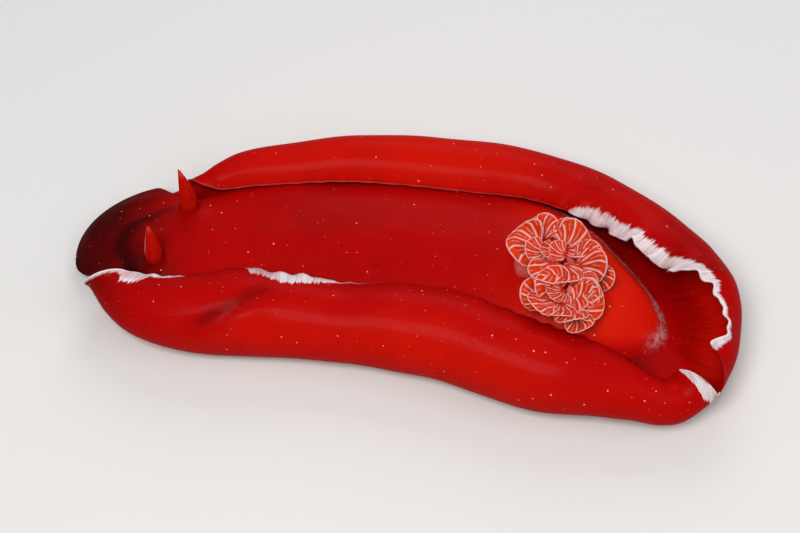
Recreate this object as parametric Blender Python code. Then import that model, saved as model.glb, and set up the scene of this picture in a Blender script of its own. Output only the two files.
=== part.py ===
"""Spanish dancer sea slug at rest, as closed solids at life size.

The head points along -X, the right side along +Y and the back along +Z. Lengths in the tables are
millimetres and angles are degrees. The angle round the body is 0 at the tail tip, 90 on the right side,
180 at the head and 270 on the left side. The broad mantle margin leaves the body along the root line. A
heading angle bends it as it goes out: 0 points outwards, 90 up, 180 back over the body and 270 down.
"""
import math

import bmesh
import bpy
import numpy as np

MM = 0.001
GAP = 0.35

ROOT_MIDDLE_X = -5.0
ROOT_HALF_LENGTH = 113.0
WAIST_HALF_WIDTH = 30.0
HIP_SWELL = (10.0, 0.65, 0.35)
HEAD_SWELL = (4.5, -0.8, 0.3)
SPINE = ((-150, -12), (-100, -8), (-50, 2), (0, 7), (45, 4.5), (75, -4), (105, -17), (150, -30))
CREST = ((-120, 17), (-95, 20.5), (-60, 22.5), (0, 23.5), (40, 25), (70, 26), (95, 24), (115, 20))
CORE = 0.74
HUMP_POWER = 6.0
HUMP_SPREAD = 50.0

# Each row: angle, root height, lead, droop, heel radius, roll radius, end heading, lip, ruffle.
MARGIN_STATIONS = (
    (0, 12.5, 16, -12, 10, 13.5, 128, 6, 0.3),
    (7, 12.5, 17.5, -13, 10, 14, 140, 7, 0.4),
    (14, 12.8, 19, -15, 10, 14.5, 172, 7, 0.5),
    (24, 13.2, 19.5, -21, 10, 14.5, 200, 6, 0.8),
    (35, 13.5, 18, -28, 10, 13.8, 216, 5, 0.7),
    (50, 14.0, 14.8, -36, 9, 13.2, 231, 3, 0.3),
    (62, 14.0, 14, -40, 8, 12.6, 236, 2, 0.0),
    (75, 14.0, 14, -40, 8, 13.2, 240, 2, 0.0),
    (88, 14.0, 13, -40, 8, 12.7, 240, 2, 0.0),
    (100, 14.0, 11.2, -40, 8, 11.7, 240, 2, 0.0),
    (115, 13.5, 10.5, -40, 7, 10.3, 240, 1.5, 0.0),
    (127, 13.0, 9.5, -34, 6, 8.4, 240, 1.5, 0.0),
    (133, 12.5, 7.5, -26, 5, 6.4, 236, 1.5, 0.0),
    (138, 12.0, 5.5, -16, 4.5, 3.6, 200, 1.2, 0.0),
    (141.5, 11.8, 5, -11, 4.5, 3.0, 100, 1.2, 0.0),
    (144.5, 11.7, 7, -8, 6, 6.0, 10, 1.5, 0.0),
    (150, 11.5, 10, -5, 10, 16, -20, 3, 0.0),
    (165, 11.0, 9.5, -5, 12, 18, -34, 3, 0.0),
    (185, 11.0, 8.5, -5, 12, 18, -38, 3, 0.0),
    (193, 11.2, 8, -10, 11, 15, -20, 3, 0.0),
    (200, 12.0, 9, -18, 9, 9, 100, 5, 0.0),
    (207, 12.6, 11, -27, 8.5, 9.6, 180, 4, 0.1),
    (216, 13.3, 13.3, -36, 8, 11.8, 208, 4, 0.1),
    (228, 14.0, 14.2, -41, 8, 14.8, 216, 4, 0.0),
    (240, 14.0, 14, -42, 8, 16.4, 224, 4, 0.0),
    (250, 14.0, 14, -42, 8, 15.3, 206, 7, 0.1),
    (262, 14.0, 14, -42, 8, 15.0, 220, 4, 0.0),
    (273, 14.0, 14, -42, 8, 16.4, 232, 3, 0.0),
    (285, 14.0, 14.3, -41, 8, 17.0, 230, 2, 0.0),
    (297, 14.0, 15, -40, 8, 16.8, 229, 2, 0.0),
    (310, 14.0, 14.5, -38, 8, 15.5, 229, 2, 0.0),
    (320, 13.8, 14, -35, 8, 13.5, 230, 2, 0.0),
    (330, 13.3, 16, -29, 8, 11, 232, 3, 0.1),
    (337, 13.0, 19.5, -24, 8, 9, 232, 3, 0.1),
    (342.5, 12.8, 21.5, -20, 8, 7.5, 225, 3, 0.0),
    (346, 12.8, 21, -18, 8, 10, 140, 7, 0.0),
    (349.5, 12.7, 20.5, -17, 8, 18, 72, 4, 0.0),
    (353, 12.6, 18, -15, 9, 12, 138, 8, 0.0),
    (356.5, 12.5, 17, -13, 9.5, 13, 130, 6, 0.6),
)
HEEL_HEADING = 60.0
BLUR = 3.0
RUFFLE_HEADING = 50.0
RUFFLE_WAVES = 18
RUFFLE_FROM = 0.72
ROOT_THICKNESS = 5.0
EDGE_THICKNESS = 0.9
THIN_POWER = 1.2
LIP = 2.0
MARGIN_ROWS = 12

SECTORS = (
    ("mantle_right_rear", 35, 70),
    ("mantle_right_middle", 70, 105),
    ("mantle_right_front", 105, 147),
    ("mantle_front", 147, 205),
    ("mantle_left_front", 205, 243),
    ("mantle_left_middle", 243, 280),
    ("mantle_left_rear", 280, 325),
    ("mantle_tail", 325, 395),
)
FINE_STEP = 3.5
FINE_HALF_SPAN = 52.5
COARSE_STEPS = 38
SPEED_STEP = 0.05

FOOT_TOP = 5.5
FOOT_ROWS = ((0.30, FOOT_TOP), (0.23, 3.6), (0.155, 1.0), (0.18, 0.0))
FLANK_ROWS = ((0.12, 9.8), (0.24, 7.4), (0.32, FOOT_TOP + GAP))
BACK_ROWS = (1.0, 0.78, 0.57, 0.38, 0.22, 0.09)

BODY_CUTS = (("head", -200, -78), ("body_front", -78, -24), ("body_middle", -24, 32), ("body_rear", 32, 200))
BOX_HEIGHT = 120.0
BOX_WIDTH = 260.0

RHINOPHORES = (("right", -94.0, 12.5, (-3.0, 5.0)), ("left", -99.0, -12.0, (-2.0, 3.5)))
RHINOPHORE_FLOOR = 12.5
STALK_RADIUS = 3.9
STALK_TOP = 22.0
CLUB_LENGTH = 15.0
CLUB_TIP_RADIUS = 1.3
LAMELLAE = 9
LAMELLA_DEPTH = 0.8
LAMELLA_SLANT = 0.35
SHEATH_RADIUS = 5.9
SHEATH_RIM_RADIUS = 5.4
SHEATH_TOP = 23.5
ROUND_SIDES = 16

TENTACLE_ROOT = (-107.0, 8.0, 7.6)
TENTACLE_TIP = (-126.0, 13.5, 2.6)
TENTACLE_HALF_WIDTH = 5.0
TENTACLE_THICKNESS = 2.4
TENTACLE_RINGS = 9
TENTACLE_SIDES = 12

GILL_CENTRE = (61.0, -4.0)
GILL_COUNT = 6
GILL_TURN = 25.0
GILL_RING_RADIUS = 9.0
# How much further out than the ring each plume stands.
GILL_REACH = (2.5, 1.0, 0.0, 0.0, 4.0, 3.5)
GILL_FLOOR = 18.0
GILL_STALK_RADIUS = 3.0
TRUNK = ((9.0, GILL_FLOOR + GAP, 3.0), (9.0, 23.0, 3.0), (9.2, 27.0, 2.8), (10.4, 30.0, 2.2), (12.6, 32.4, 1.5))
TRUNK_SIDES = 10
# Each row: turn from straight out, tilt up, start on the trunk, size, share of a half turn, waves.
FANS = (
    (32.0, 16.0, (11.0, 30.4), 11.4, 0.56, 2.5),
    (-32.0, 16.0, (11.0, 30.4), 11.4, 0.56, 2.5),
    (0.0, 62.0, (10.6, 31.2), 9.0, 0.58, 3.0),
)
FAN_STEPS = 9
FAN_ROWS = (0.14, 0.55, 1.0)
FAN_CUP = 0.16
FAN_RUFFLE = 0.15
FAN_THICKNESS = 0.9
WEDGE_CLEAR = 0.3

PAPILLA_FLOOR = 18.0
PAPILLA_RADIUS = 2.6
PAPILLA_TOP = 30.5

COLOURS = {
    "foot": (0.62, 0.05, 0.02),
    "body": (0.55, 0.0, 0.0),
    "mantle": (0.66, 0.02, 0.01),
    "gill": (0.85, 0.10, 0.03),
    "rhinophore": (0.80, 0.08, 0.02),
    "sheath": (0.60, 0.01, 0.01),
    "oral": (0.70, 0.05, 0.03),
    "anal": (0.75, 0.06, 0.03),
}


def monotone_loop(angle, angles, values):
    """A smooth curve through values at angles that repeats every full turn and never overshoots."""
    count = len(angles)
    gap = np.diff(np.append(angles, angles[0] + 360.0))
    slope = np.diff(np.append(values, values[0])) / gap
    before = np.roll(slope, 1)
    same = slope * before > 0
    tangent = np.where(same, 2 * slope * before / np.where(same, slope + before, 1), 0)
    angle = np.mod(np.asarray(angle, float) - angles[0], 360.0) + angles[0]
    i = np.clip(np.searchsorted(angles, angle, side="right") - 1, 0, count - 1)
    j = (i + 1) % count
    t = (angle - angles[i]) / gap[i]
    return (
        (1 + 2 * t) * (1 - t) ** 2 * values[i]
        + t * (1 - t) ** 2 * gap[i] * tangent[i]
        + t * t * (3 - 2 * t) * values[j]
        - t * t * (1 - t) * gap[i] * tangent[j]
    )


def smooth_line(x, table):
    """A smooth curve through a table of (x, value) rows."""
    xs, ys = np.array(table, float).T
    tangent = np.gradient(ys, xs)
    i = np.clip(np.searchsorted(xs, x) - 1, 0, len(xs) - 2)
    step = xs[i + 1] - xs[i]
    t = (x - xs[i]) / step
    return (
        (1 + 2 * t) * (1 - t) ** 2 * ys[i]
        + t * (1 - t) ** 2 * step * tangent[i]
        + t * t * (3 - 2 * t) * ys[i + 1]
        - t * t * (1 - t) * step * tangent[i + 1]
    )


def station_value(theta, column):
    table = np.array(MARGIN_STATIONS, float)
    return monotone_loop(theta, table[:, 0], table[:, column])


def swell(c, size_place_spread):
    size, place, spread = size_place_spread
    return size * np.exp(-(((c - place) / spread) ** 2))


def root_line(theta):
    """Plan position of the line where the margin leaves the body."""
    c = np.cos(np.radians(theta))
    s = np.sin(np.radians(theta))
    half = WAIST_HALF_WIDTH + swell(c, HIP_SWELL) + swell(c, HEAD_SWELL)
    x = ROOT_MIDDLE_X + ROOT_HALF_LENGTH * c
    return np.stack([x, half * s + smooth_line(x, SPINE)], -1)


def outward(theta):
    """Plan direction at right angles to the root line, away from the body."""
    step = root_line(theta + SPEED_STEP) - root_line(theta - SPEED_STEP)
    step = step / np.linalg.norm(step, axis=-1, keepdims=True)
    return np.stack([step[..., 1], -step[..., 0]], -1)


def core_line(theta):
    """Plan position of the middle line that the rings of the back close on."""
    x = ROOT_MIDDLE_X + CORE * ROOT_HALF_LENGTH * np.cos(np.radians(theta))
    return np.stack([x, smooth_line(x, SPINE)], -1)


def sheet_width(theta):
    """Full width of the margin from root to edge, with the two arcs it is made of."""
    lead, droop, heel, roll, end, lip = (station_value(theta, k) for k in range(2, 8))
    turn = np.where(end > droop, np.clip(HEEL_HEADING, droop, end), droop)
    heel_length = heel * np.radians(np.abs(turn - droop))
    roll_length = roll * np.radians(np.abs(end - turn))
    return lead + heel_length + roll_length + lip, lead, heel_length, roll_length, droop, turn, end


def sheet(theta, shares):
    """Margin at one angle: mid points, outer normals and thickness at shares of its width."""
    width, lead, heel_length, roll_length, droop, turn, end = (float(v) for v in sheet_width(theta))
    fine = np.linspace(0.0, 1.0, 241)
    heading = np.zeros_like(fine)
    for shift in (-1.0, -0.5, 0.0, 0.5, 1.0):
        s = fine * width + BLUR * shift
        first = np.clip((s - lead) / max(heel_length, 1e-6), 0, 1)
        second = np.clip((s - lead - heel_length) / max(roll_length, 1e-6), 0, 1)
        heading += (droop + (turn - droop) * first + (end - turn) * second) / 5
    wave = math.sin(math.radians(RUFFLE_WAVES * theta)) * float(station_value(theta, 8))
    edge = np.clip((fine - RUFFLE_FROM) / (1 - RUFFLE_FROM), 0, 1) ** 1.5
    heading = np.radians(heading + RUFFLE_HEADING * wave * edge)
    step = width / (len(fine) - 1)
    along = np.concatenate([[0], np.cumsum(np.cos(heading[1:]) + np.cos(heading[:-1]))]) * step / 2
    rise = np.concatenate([[0], np.cumsum(np.sin(heading[1:]) + np.sin(heading[:-1]))]) * step / 2
    along = np.interp(shares, fine, along)
    rise = np.interp(shares, fine, rise)
    heading = np.interp(shares, fine, heading)
    out = outward(theta)
    mid = np.column_stack([root_line(theta) + along[:, None] * out, float(station_value(theta, 1)) + rise])
    normal = np.column_stack([np.sin(heading)[:, None] * out, -np.cos(heading)])
    thickness = EDGE_THICKNESS + (ROOT_THICKNESS - EDGE_THICKNESS) * (1 - np.asarray(shares)) ** THIN_POWER
    return mid, normal, thickness[:, None]


def sheet_faces(theta, shares):
    """Points on the inner and the outer face of the margin at one angle."""
    mid, normal, thickness = sheet(theta, shares)
    return mid - normal * thickness / 2, mid + normal * thickness / 2


def half_gap_angle(theta):
    """Angle that half a gap takes up along the root line."""
    step = root_line(theta + SPEED_STEP) - root_line(theta - SPEED_STEP)
    return GAP / 2 / (float(np.linalg.norm(step)) / (2 * SPEED_STEP))


def station_angles():
    """Angles of all cross sections: even steps, both sides of each sector cut, and their mirror angles."""
    cuts = sorted({b % 360 for _, _, b in SECTORS} | {(360 - b) % 360 for _, _, b in SECTORS})
    even = np.concatenate([
        np.arange(0, FINE_HALF_SPAN, FINE_STEP),
        np.linspace(FINE_HALF_SPAN, 360 - FINE_HALF_SPAN, COARSE_STEPS, endpoint=False),
        np.arange(360 - FINE_HALF_SPAN, 360, FINE_STEP),
    ])
    angles = [a for a in even if min(abs(a - c) for c in cuts) > 0.9]
    for cut in cuts:
        mirror = (360 - cut) % 360
        half = max(half_gap_angle(cut), half_gap_angle(mirror))
        angles += [cut - half, cut + half]
    return sorted(angles)


def new_object(name, verts, faces, colour, collection):
    """A mesh object from points in millimetres, with its own material and its faces turned outwards."""
    mesh = bpy.data.meshes.new(name)
    mesh.from_pydata([tuple(float(c) * MM for c in v) for v in verts], [], faces)
    work = bmesh.new()
    work.from_mesh(mesh)
    bmesh.ops.recalc_face_normals(work, faces=work.faces)
    if work.calc_volume(signed=True) < 0:
        bmesh.ops.reverse_faces(work, faces=work.faces)
    work.to_mesh(mesh)
    work.free()
    obj = bpy.data.objects.new(name, mesh)
    collection.objects.link(obj)
    if colour:
        material = bpy.data.materials.new(name + "_skin")
        material.use_nodes = True
        shader = material.node_tree.nodes["Principled BSDF"]
        shader.inputs["Base Color"].default_value = (*colour, 1.0)
        shader.inputs["Roughness"].default_value = 0.4
        mesh.materials.append(material)
    return obj


def ring_solid(name, rows, colour, collection):
    """A solid from rows of points round the body, whose first and last rows close on the middle line."""
    count = len(rows[0])
    index = []
    verts = []
    for r, row in enumerate(rows):
        closing = r in (0, len(rows) - 1)
        ids = []
        for i in range(count):
            if closing and i > count - i:
                ids.append(ids[count - i])
            else:
                ids.append(len(verts))
                verts.append(row[i])
        index.append(ids)
    faces = []
    for upper, lower in zip(index, index[1:]):
        for i in range(count):
            j = (i + 1) % count
            faces += [(upper[i], upper[j], lower[i]), (upper[j], lower[j], lower[i])]
    return new_object(name, verts, faces, colour, collection)


def loft(name, loops, colour, collection, folded=False):
    """A solid through closed loops of equal count; in a folded section both faces are split alike."""
    count = len(loops[0])
    verts = [p for loop in loops for p in loop]
    faces = []
    for k in range(len(loops) - 1):
        for i in range(count):
            j = (i + 1) % count
            a, b, c, d = k * count + i, k * count + j, (k + 1) * count + j, (k + 1) * count + i
            if not folded:
                faces.append((a, b, c, d))
            elif count // 2 <= i < count - 1:
                faces += [(a, b, d), (b, c, d)]
            else:
                faces += [(a, b, c), (a, c, d)]
    for base in (0, (len(loops) - 1) * count):
        if folded:
            for i in range(count // 2 - 1):
                faces.append((base + i, base + i + 1, base + count - 2 - i, base + count - 1 - i))
        else:
            faces.append(tuple(base + i for i in range(count)))
    return new_object(name, verts, faces, colour, collection)


def back_points(theta, share, start):
    """Points of the back on one ring, from share 0 at the shoulder to 1 on the middle line."""
    core = core_line(theta)
    plan = start[:, :2] + (core - start[:, :2]) * share
    top = smooth_line(plan[:, 0], CREST)
    around = np.abs((theta + 180.0) % 360.0 - 180.0)
    power = 2 + HUMP_POWER * np.exp(-((around / HUMP_SPREAD) ** 4))
    rise = 1 - (1 - share) ** power
    return np.column_stack([plan, start[:, 2] + (top - start[:, 2]) * rise])


def under_points(theta, share, height):
    """Points of a ring under the body at a share of the way in from the root line."""
    root = root_line(theta)
    plan = root + (core_line(theta) - root) * share
    return np.column_stack([plan, np.full(len(plan), height)])


def whole_body(angles, collection):
    """The trunk of the animal in one piece, with a short lip that the margin carries on from."""
    theta = np.array(angles)
    inner = []
    outer = []
    for a in angles:
        width = float(sheet_width(a)[0])
        faces = sheet_faces(a, np.array([0.0, LIP / 2, LIP]) / width)
        inner.append(faces[0])
        outer.append(faces[1])
    inner = np.array(inner)
    outer = np.array(outer)
    rows = [back_points(theta, share, inner[:, 0]) for share in BACK_ROWS]
    rows += [inner[:, 0], inner[:, 1], inner[:, 2], outer[:, 2], outer[:, 1], outer[:, 0]]
    rows += [under_points(theta, share, height) for share, height in FLANK_ROWS]
    rows.append(under_points(theta, 1.0, FOOT_TOP + GAP))
    return ring_solid("whole_body", rows, None, collection)


def foot(angles, collection):
    """The crawling foot: a long sole with a thin flared edge."""
    theta = np.array(angles)
    rows = [under_points(theta, 1.0, FOOT_TOP)]
    rows += [under_points(theta, share, height) for share, height in FOOT_ROWS]
    rows.append(under_points(theta, 1.0, 0.0))
    return ring_solid("foot", rows, COLOURS["foot"], collection)


def margin_sector(name, start, end, angles, collection):
    """One length of the mantle margin, a thick fold that thins to its free edge."""
    turned = [a if a >= start - 1 else a + 360 for a in angles]
    inside = sorted(a for a in turned if start < a < end)
    loops = []
    for a in inside:
        first = (LIP + GAP) / float(sheet_width(a)[0])
        shares = first + (1 - first) * np.linspace(0, 1, MARGIN_ROWS + 1)
        inner, outer = sheet_faces(a, shares)
        loops.append(np.concatenate([inner, outer[::-1]]))
    return loft(name, loops, COLOURS["mantle"], collection, folded=True)


def turned_loops(profile, place, lean, sides, slant=0.0):
    """Rings of a round form: profile of (radius, height, share of the lean) about an upright axis."""
    x, y = place
    loops = []
    for radius, height, share in profile:
        angles = [2 * math.pi * k / sides for k in range(sides)]
        bend = share * share
        loops.append([
            (
                x + radius * math.cos(a) + lean[0] * bend,
                y + radius * math.sin(a) + lean[1] * bend,
                height + slant * radius * math.cos(a) * min(1.0, 4 * share),
            )
            for a in angles
        ])
    return loops


def rhinophore_profile():
    """A round stalk under a club of stacked leaves."""
    floor = RHINOPHORE_FLOOR + GAP
    profile = [(STALK_RADIUS, floor, 0.0), (STALK_RADIUS, STALK_TOP - 2, 0.0), (STALK_RADIUS * 0.86, STALK_TOP, 0.02)]
    for k in range(LAMELLAE):
        for offset, depth in ((0.15, 0.0), (0.75, LAMELLA_DEPTH)):
            share = (k + offset) / LAMELLAE
            body = STALK_RADIUS * (1 - share ** 2.2) + CLUB_TIP_RADIUS * share ** 2.2
            profile.append((max(body - depth, 0.6), STALK_TOP + CLUB_LENGTH * share + 0.5, 0.05 + 0.95 * share))
    profile.append((CLUB_TIP_RADIUS * 0.8, STALK_TOP + CLUB_LENGTH + 0.9, 1.02))
    profile.append((CLUB_TIP_RADIUS * 0.35, STALK_TOP + CLUB_LENGTH + 1.5, 1.04))
    return profile


def rhinophores(collection, cutters):
    """Both feelers on the head with their raised sheaths, and the cutters of the pockets they stand in."""
    pockets = []
    for side, x, offset, lean in RHINOPHORES:
        place = (x, float(smooth_line(x, SPINE)) + offset)
        loops = turned_loops(rhinophore_profile(), place, lean, ROUND_SIDES, LAMELLA_SLANT)
        loft("rhinophore_" + side, loops, COLOURS["rhinophore"], collection)
        bore = STALK_RADIUS + GAP
        floor = RHINOPHORE_FLOOR + GAP
        outline = [
            (bore, floor, 0.0),
            (SHEATH_RADIUS, floor, 0.0),
            (SHEATH_RADIUS, SHEATH_TOP - 4.0, 0.0),
            (SHEATH_RIM_RADIUS, SHEATH_TOP - 0.6, 0.0),
            (SHEATH_RIM_RADIUS - 0.4, SHEATH_TOP, 0.0),
            (bore + 0.2, SHEATH_TOP, 0.0),
            (bore, SHEATH_TOP - 0.6, 0.0),
        ]
        ring = turned_loops(outline, place, lean, ROUND_SIDES)
        sheath_tube("rhinophore_sheath_" + side, ring, collection)
        pocket = [(SHEATH_RADIUS + GAP, RHINOPHORE_FLOOR, 0.0), (SHEATH_RADIUS + GAP, SHEATH_TOP + 6, 0.0)]
        pockets.append(loft("pocket_" + side, turned_loops(pocket, place, lean, ROUND_SIDES), None, cutters))
    return pockets


def sheath_tube(name, loops, collection):
    """A tube whose loops run down the outside, over the rim and down the bore, closed on itself."""
    count = len(loops[0])
    verts = [p for loop in loops for p in loop]
    faces = []
    for k in range(len(loops)):
        low = k * count
        high = ((k + 1) % len(loops)) * count
        for i in range(count):
            j = (i + 1) % count
            faces.append((low + i, low + j, high + j, high + i))
    return new_object(name, verts, faces, COLOURS["sheath"], collection)


def tentacle_loops(side, grow):
    """Rings of a flat lobed mouth feeler that curves down and forward from under the head."""
    spine_y = float(smooth_line(TENTACLE_ROOT[0], SPINE))
    loops = []
    for k in range(TENTACLE_RINGS):
        share = k / (TENTACLE_RINGS - 1)
        x = TENTACLE_ROOT[0] + (TENTACLE_TIP[0] - TENTACLE_ROOT[0]) * share
        y = spine_y + side * (TENTACLE_ROOT[1] + (TENTACLE_TIP[1] - TENTACLE_ROOT[1]) * share ** 1.3)
        z = TENTACLE_ROOT[2] + (TENTACLE_TIP[2] - TENTACLE_ROOT[2]) * (share ** 1.6)
        lobes = 1 + 0.10 * math.sin(6 * math.pi * share)
        half = TENTACLE_HALF_WIDTH * (0.55 + 0.5 * math.sin(math.pi * min(1, share * 0.62 + 0.2))) * lobes
        if share > 0.8:
            half *= 1 - 0.55 * ((share - 0.8) / 0.2) ** 2
        thick = TENTACLE_THICKNESS * (1 - 0.45 * share)
        loop = []
        for i in range(TENTACLE_SIDES):
            a = 2 * math.pi * i / TENTACLE_SIDES
            loop.append((x, y + (half + grow) * math.cos(a), z + (thick / 2 + grow) * math.sin(a)))
        loops.append(loop)
    return loops


def oral_tentacles(collection, cutters):
    """Both mouth feelers and the cutters of the slots they sit in."""
    slots = []
    for name, side in (("right", 1), ("left", -1)):
        loft("oral_tentacle_" + name, tentacle_loops(side, 0.0), COLOURS["oral"], collection)
        loops = tentacle_loops(side, 1.3 * GAP)
        loops[0] = [(x + GAP, y, z) for x, y, z in loops[0]]
        slots.append(loft("slot_" + name, loops, None, cutters))
    return slots


def gill_frame(number):
    """Function from (out, across, up) about the vent to model space, for one plume of the ring."""
    turn = math.radians(GILL_TURN + 360.0 * number / GILL_COUNT)
    cx, cy = GILL_CENTRE
    reach = GILL_REACH[number]

    def place(out, across, up):
        far = out + reach
        x = cx + far * math.cos(turn) - across * math.sin(turn)
        y = cy + far * math.sin(turn) + across * math.cos(turn)
        return (x, y, up)

    return place


def inside_wedge(out, across):
    """Draws a point across towards the middle, so that plumes side by side never meet."""
    limit = max(1.0, out * math.tan(math.pi / GILL_COUNT) - WEDGE_CLEAR)
    return limit * math.tanh(across / limit)


def fan(name, place, row, phase, collection):
    """One ruffled frond: a thin cupped fan that opens from the trunk."""
    turn, tilt, start, size, spread, waves = row
    beta = math.radians(turn)
    gamma = math.radians(tilt)
    ahead = np.array([math.cos(gamma) * math.cos(beta), math.cos(gamma) * math.sin(beta), math.sin(gamma)])
    side = np.array([-math.sin(beta), math.cos(beta), 0.0])
    face = np.cross(ahead, side)
    origin = np.array([start[0], 0.0, start[1]])
    verts = []
    for sign in (-1, 1):
        for r in FAN_ROWS:
            for k in range(FAN_STEPS + 1):
                a = math.pi * spread * (2 * k / FAN_STEPS - 1)
                lift = size * (FAN_CUP * r * r + FAN_RUFFLE * r * r * math.sin(waves * a * 2 + phase))
                p = origin + size * r * (math.cos(a) * ahead + math.sin(a) * side) + face * lift
                p = p + face * sign * FAN_THICKNESS / 2
                verts.append(place(p[0], inside_wedge(p[0], p[1]), p[2]))
    row_length = FAN_STEPS + 1
    layer = row_length * len(FAN_ROWS)
    faces = []
    for r in range(len(FAN_ROWS) - 1):
        for k in range(FAN_STEPS):
            a = r * row_length + k
            b = a + 1
            c = a + row_length
            d = c + 1
            faces += [(a, b, d), (a, d, c), (layer + a, layer + d, layer + b), (layer + a, layer + c, layer + d)]
    rim = list(range(row_length))
    rim += [r * row_length + FAN_STEPS for r in range(1, len(FAN_ROWS))]
    last = (len(FAN_ROWS) - 1) * row_length
    rim += [last + k for k in range(FAN_STEPS - 1, -1, -1)]
    rim += [r * row_length for r in range(len(FAN_ROWS) - 2, 0, -1)]
    for a, b in zip(rim, rim[1:] + rim[:1]):
        faces.append((a, layer + a, layer + b, b))
    return new_object(name, verts, faces, None, collection)


def trunk(name, place, collection):
    """The stalk of one plume, round and bending outwards."""
    loops = []
    for n, (out, up, radius) in enumerate(TRUNK):
        lean = 0.0 if n < 2 else 0.25 * (n - 1)
        loop = []
        for k in range(TRUNK_SIDES):
            a = 2 * math.pi * k / TRUNK_SIDES
            across = radius * math.sin(a)
            step = radius * math.cos(a)
            loop.append(place(out + step * math.cos(lean), across, up - step * math.sin(lean)))
        loops.append(loop)
    return loft(name, loops, None, collection)


def largest_shell(obj):
    """Keeps only the largest closed surface of a mesh."""
    work = bmesh.new()
    work.from_mesh(obj.data)
    left = set(work.verts)
    shells = []
    while left:
        stack = [left.pop()]
        shell = set(stack)
        while stack:
            for edge in stack.pop().link_edges:
                for vert in edge.verts:
                    if vert in left:
                        left.discard(vert)
                        shell.add(vert)
                        stack.append(vert)
        shells.append(shell)
    shells.sort(key=len)
    for shell in shells[:-1]:
        bmesh.ops.delete(work, geom=list(shell), context="VERTS")
    work.to_mesh(obj.data)
    work.free()


def fuse(obj, collection):
    """Unites every object of a collection with obj, applies the union and removes the collection."""
    modifier = obj.modifiers.new("fuse", "BOOLEAN")
    modifier.operation = "UNION"
    modifier.operand_type = "COLLECTION"
    modifier.collection = collection
    modifier.solver = "EXACT"
    bpy.context.view_layer.update()
    graph = bpy.context.evaluated_depsgraph_get()
    mesh = bpy.data.meshes.new_from_object(obj.evaluated_get(graph), depsgraph=graph)
    obj.modifiers.clear()
    obj.data = mesh
    for piece in list(collection.objects):
        bpy.data.objects.remove(piece)
    bpy.data.collections.remove(collection)
    largest_shell(obj)


def gill(number, collection, cutters):
    """One plume of the ring of gills: a trunk with ruffled fans, and the cutter of its pocket."""
    name = "gill_" + str(number + 1)
    place = gill_frame(number)
    obj = trunk(name, place, collection)
    pieces = bpy.data.collections.new(name + "_fans")
    bpy.context.scene.collection.children.link(pieces)
    rng = np.random.default_rng(20 + number)
    for n, row in enumerate(FANS):
        fan(name + "_fan_" + str(n), place, row, float(rng.uniform(0, 2 * math.pi)), pieces)
    fuse(obj, pieces)
    obj.data.materials.clear()
    material = bpy.data.materials.new(name + "_skin")
    material.use_nodes = True
    shader = material.node_tree.nodes["Principled BSDF"]
    shader.inputs["Base Color"].default_value = (*COLOURS["gill"], 1.0)
    obj.data.materials.append(material)
    centre = place(GILL_RING_RADIUS, 0.0, 0.0)
    radius = GILL_STALK_RADIUS + GAP
    profile = [(radius, GILL_FLOOR, 0.0), (radius, GILL_FLOOR + 20, 0.0)]
    loops = turned_loops(profile, centre[:2], (0, 0), ROUND_SIDES)
    return loft("pocket_" + name, loops, None, cutters)


def papilla(collection, cutters):
    """The short vent tube in the middle of the gills, and the cutter of its pocket."""
    profile = [
        (PAPILLA_RADIUS, PAPILLA_FLOOR + GAP, 0.0),
        (PAPILLA_RADIUS, PAPILLA_TOP - 3, 0.0),
        (PAPILLA_RADIUS * 0.8, PAPILLA_TOP - 0.5, 0.0),
        (PAPILLA_RADIUS * 0.6, PAPILLA_TOP, 0.0),
        (PAPILLA_RADIUS * 0.35, PAPILLA_TOP - 0.4, 0.0),
        (PAPILLA_RADIUS * 0.2, PAPILLA_TOP - 1.5, 0.0),
    ]
    loft("anal_papilla", turned_loops(profile, GILL_CENTRE, (0, 0), ROUND_SIDES), COLOURS["anal"], collection)
    radius = PAPILLA_RADIUS + GAP
    pocket = [(radius, PAPILLA_FLOOR, 0.0), (radius, PAPILLA_TOP + 8, 0.0)]
    return loft("pocket_papilla", turned_loops(pocket, GILL_CENTRE, (0, 0), ROUND_SIDES), None, cutters)


def box_cutter(name, low, high, collection):
    """A box between two x positions that holds one length of the body."""
    loops = []
    for x in (low, high):
        half = BOX_WIDTH / 2
        loops.append([(x, -half, -5.0), (x, half, -5.0), (x, half, BOX_HEIGHT), (x, -half, BOX_HEIGHT)])
    return loft(name, loops, None, collection)


def body_lengths(whole, pockets, collection, cutters):
    """Parts the trunk into lengths with thin cuts and sinks the pockets that belong to each."""
    for name, low, high in BODY_CUTS:
        obj = new_object(name, [], [], COLOURS["body"], collection)
        material = obj.data.materials[0]
        obj.data = whole.data.copy()
        obj.data.materials.append(material)
        box = box_cutter("box_" + name, low + GAP / 2, high - GAP / 2, cutters)
        for tool, operation in [(box, "INTERSECT")] + [(p, "DIFFERENCE") for p in pockets.get(name, [])]:
            modifier = obj.modifiers.new(tool.name, "BOOLEAN")
            modifier.operation = operation
            modifier.object = tool
            modifier.solver = "EXACT"


def centre_on_floor(collection, cutters):
    """Moves every mesh so that the middle of the model's bottom is the origin."""
    low = np.full(3, 1e9)
    high = np.full(3, -1e9)
    bpy.context.view_layer.update()
    graph = bpy.context.evaluated_depsgraph_get()
    for obj in collection.objects:
        shape = obj.evaluated_get(graph)
        points = np.array([v.co[:] for v in shape.data.vertices])
        low = np.minimum(low, points.min(0))
        high = np.maximum(high, points.max(0))
    shift = np.array([-(low[0] + high[0]) / 2, -(low[1] + high[1]) / 2, -low[2]])
    for obj in list(collection.objects) + list(cutters.objects):
        for vert in obj.data.vertices:
            vert.co = [c + d for c, d in zip(vert.co, shift)]


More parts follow.
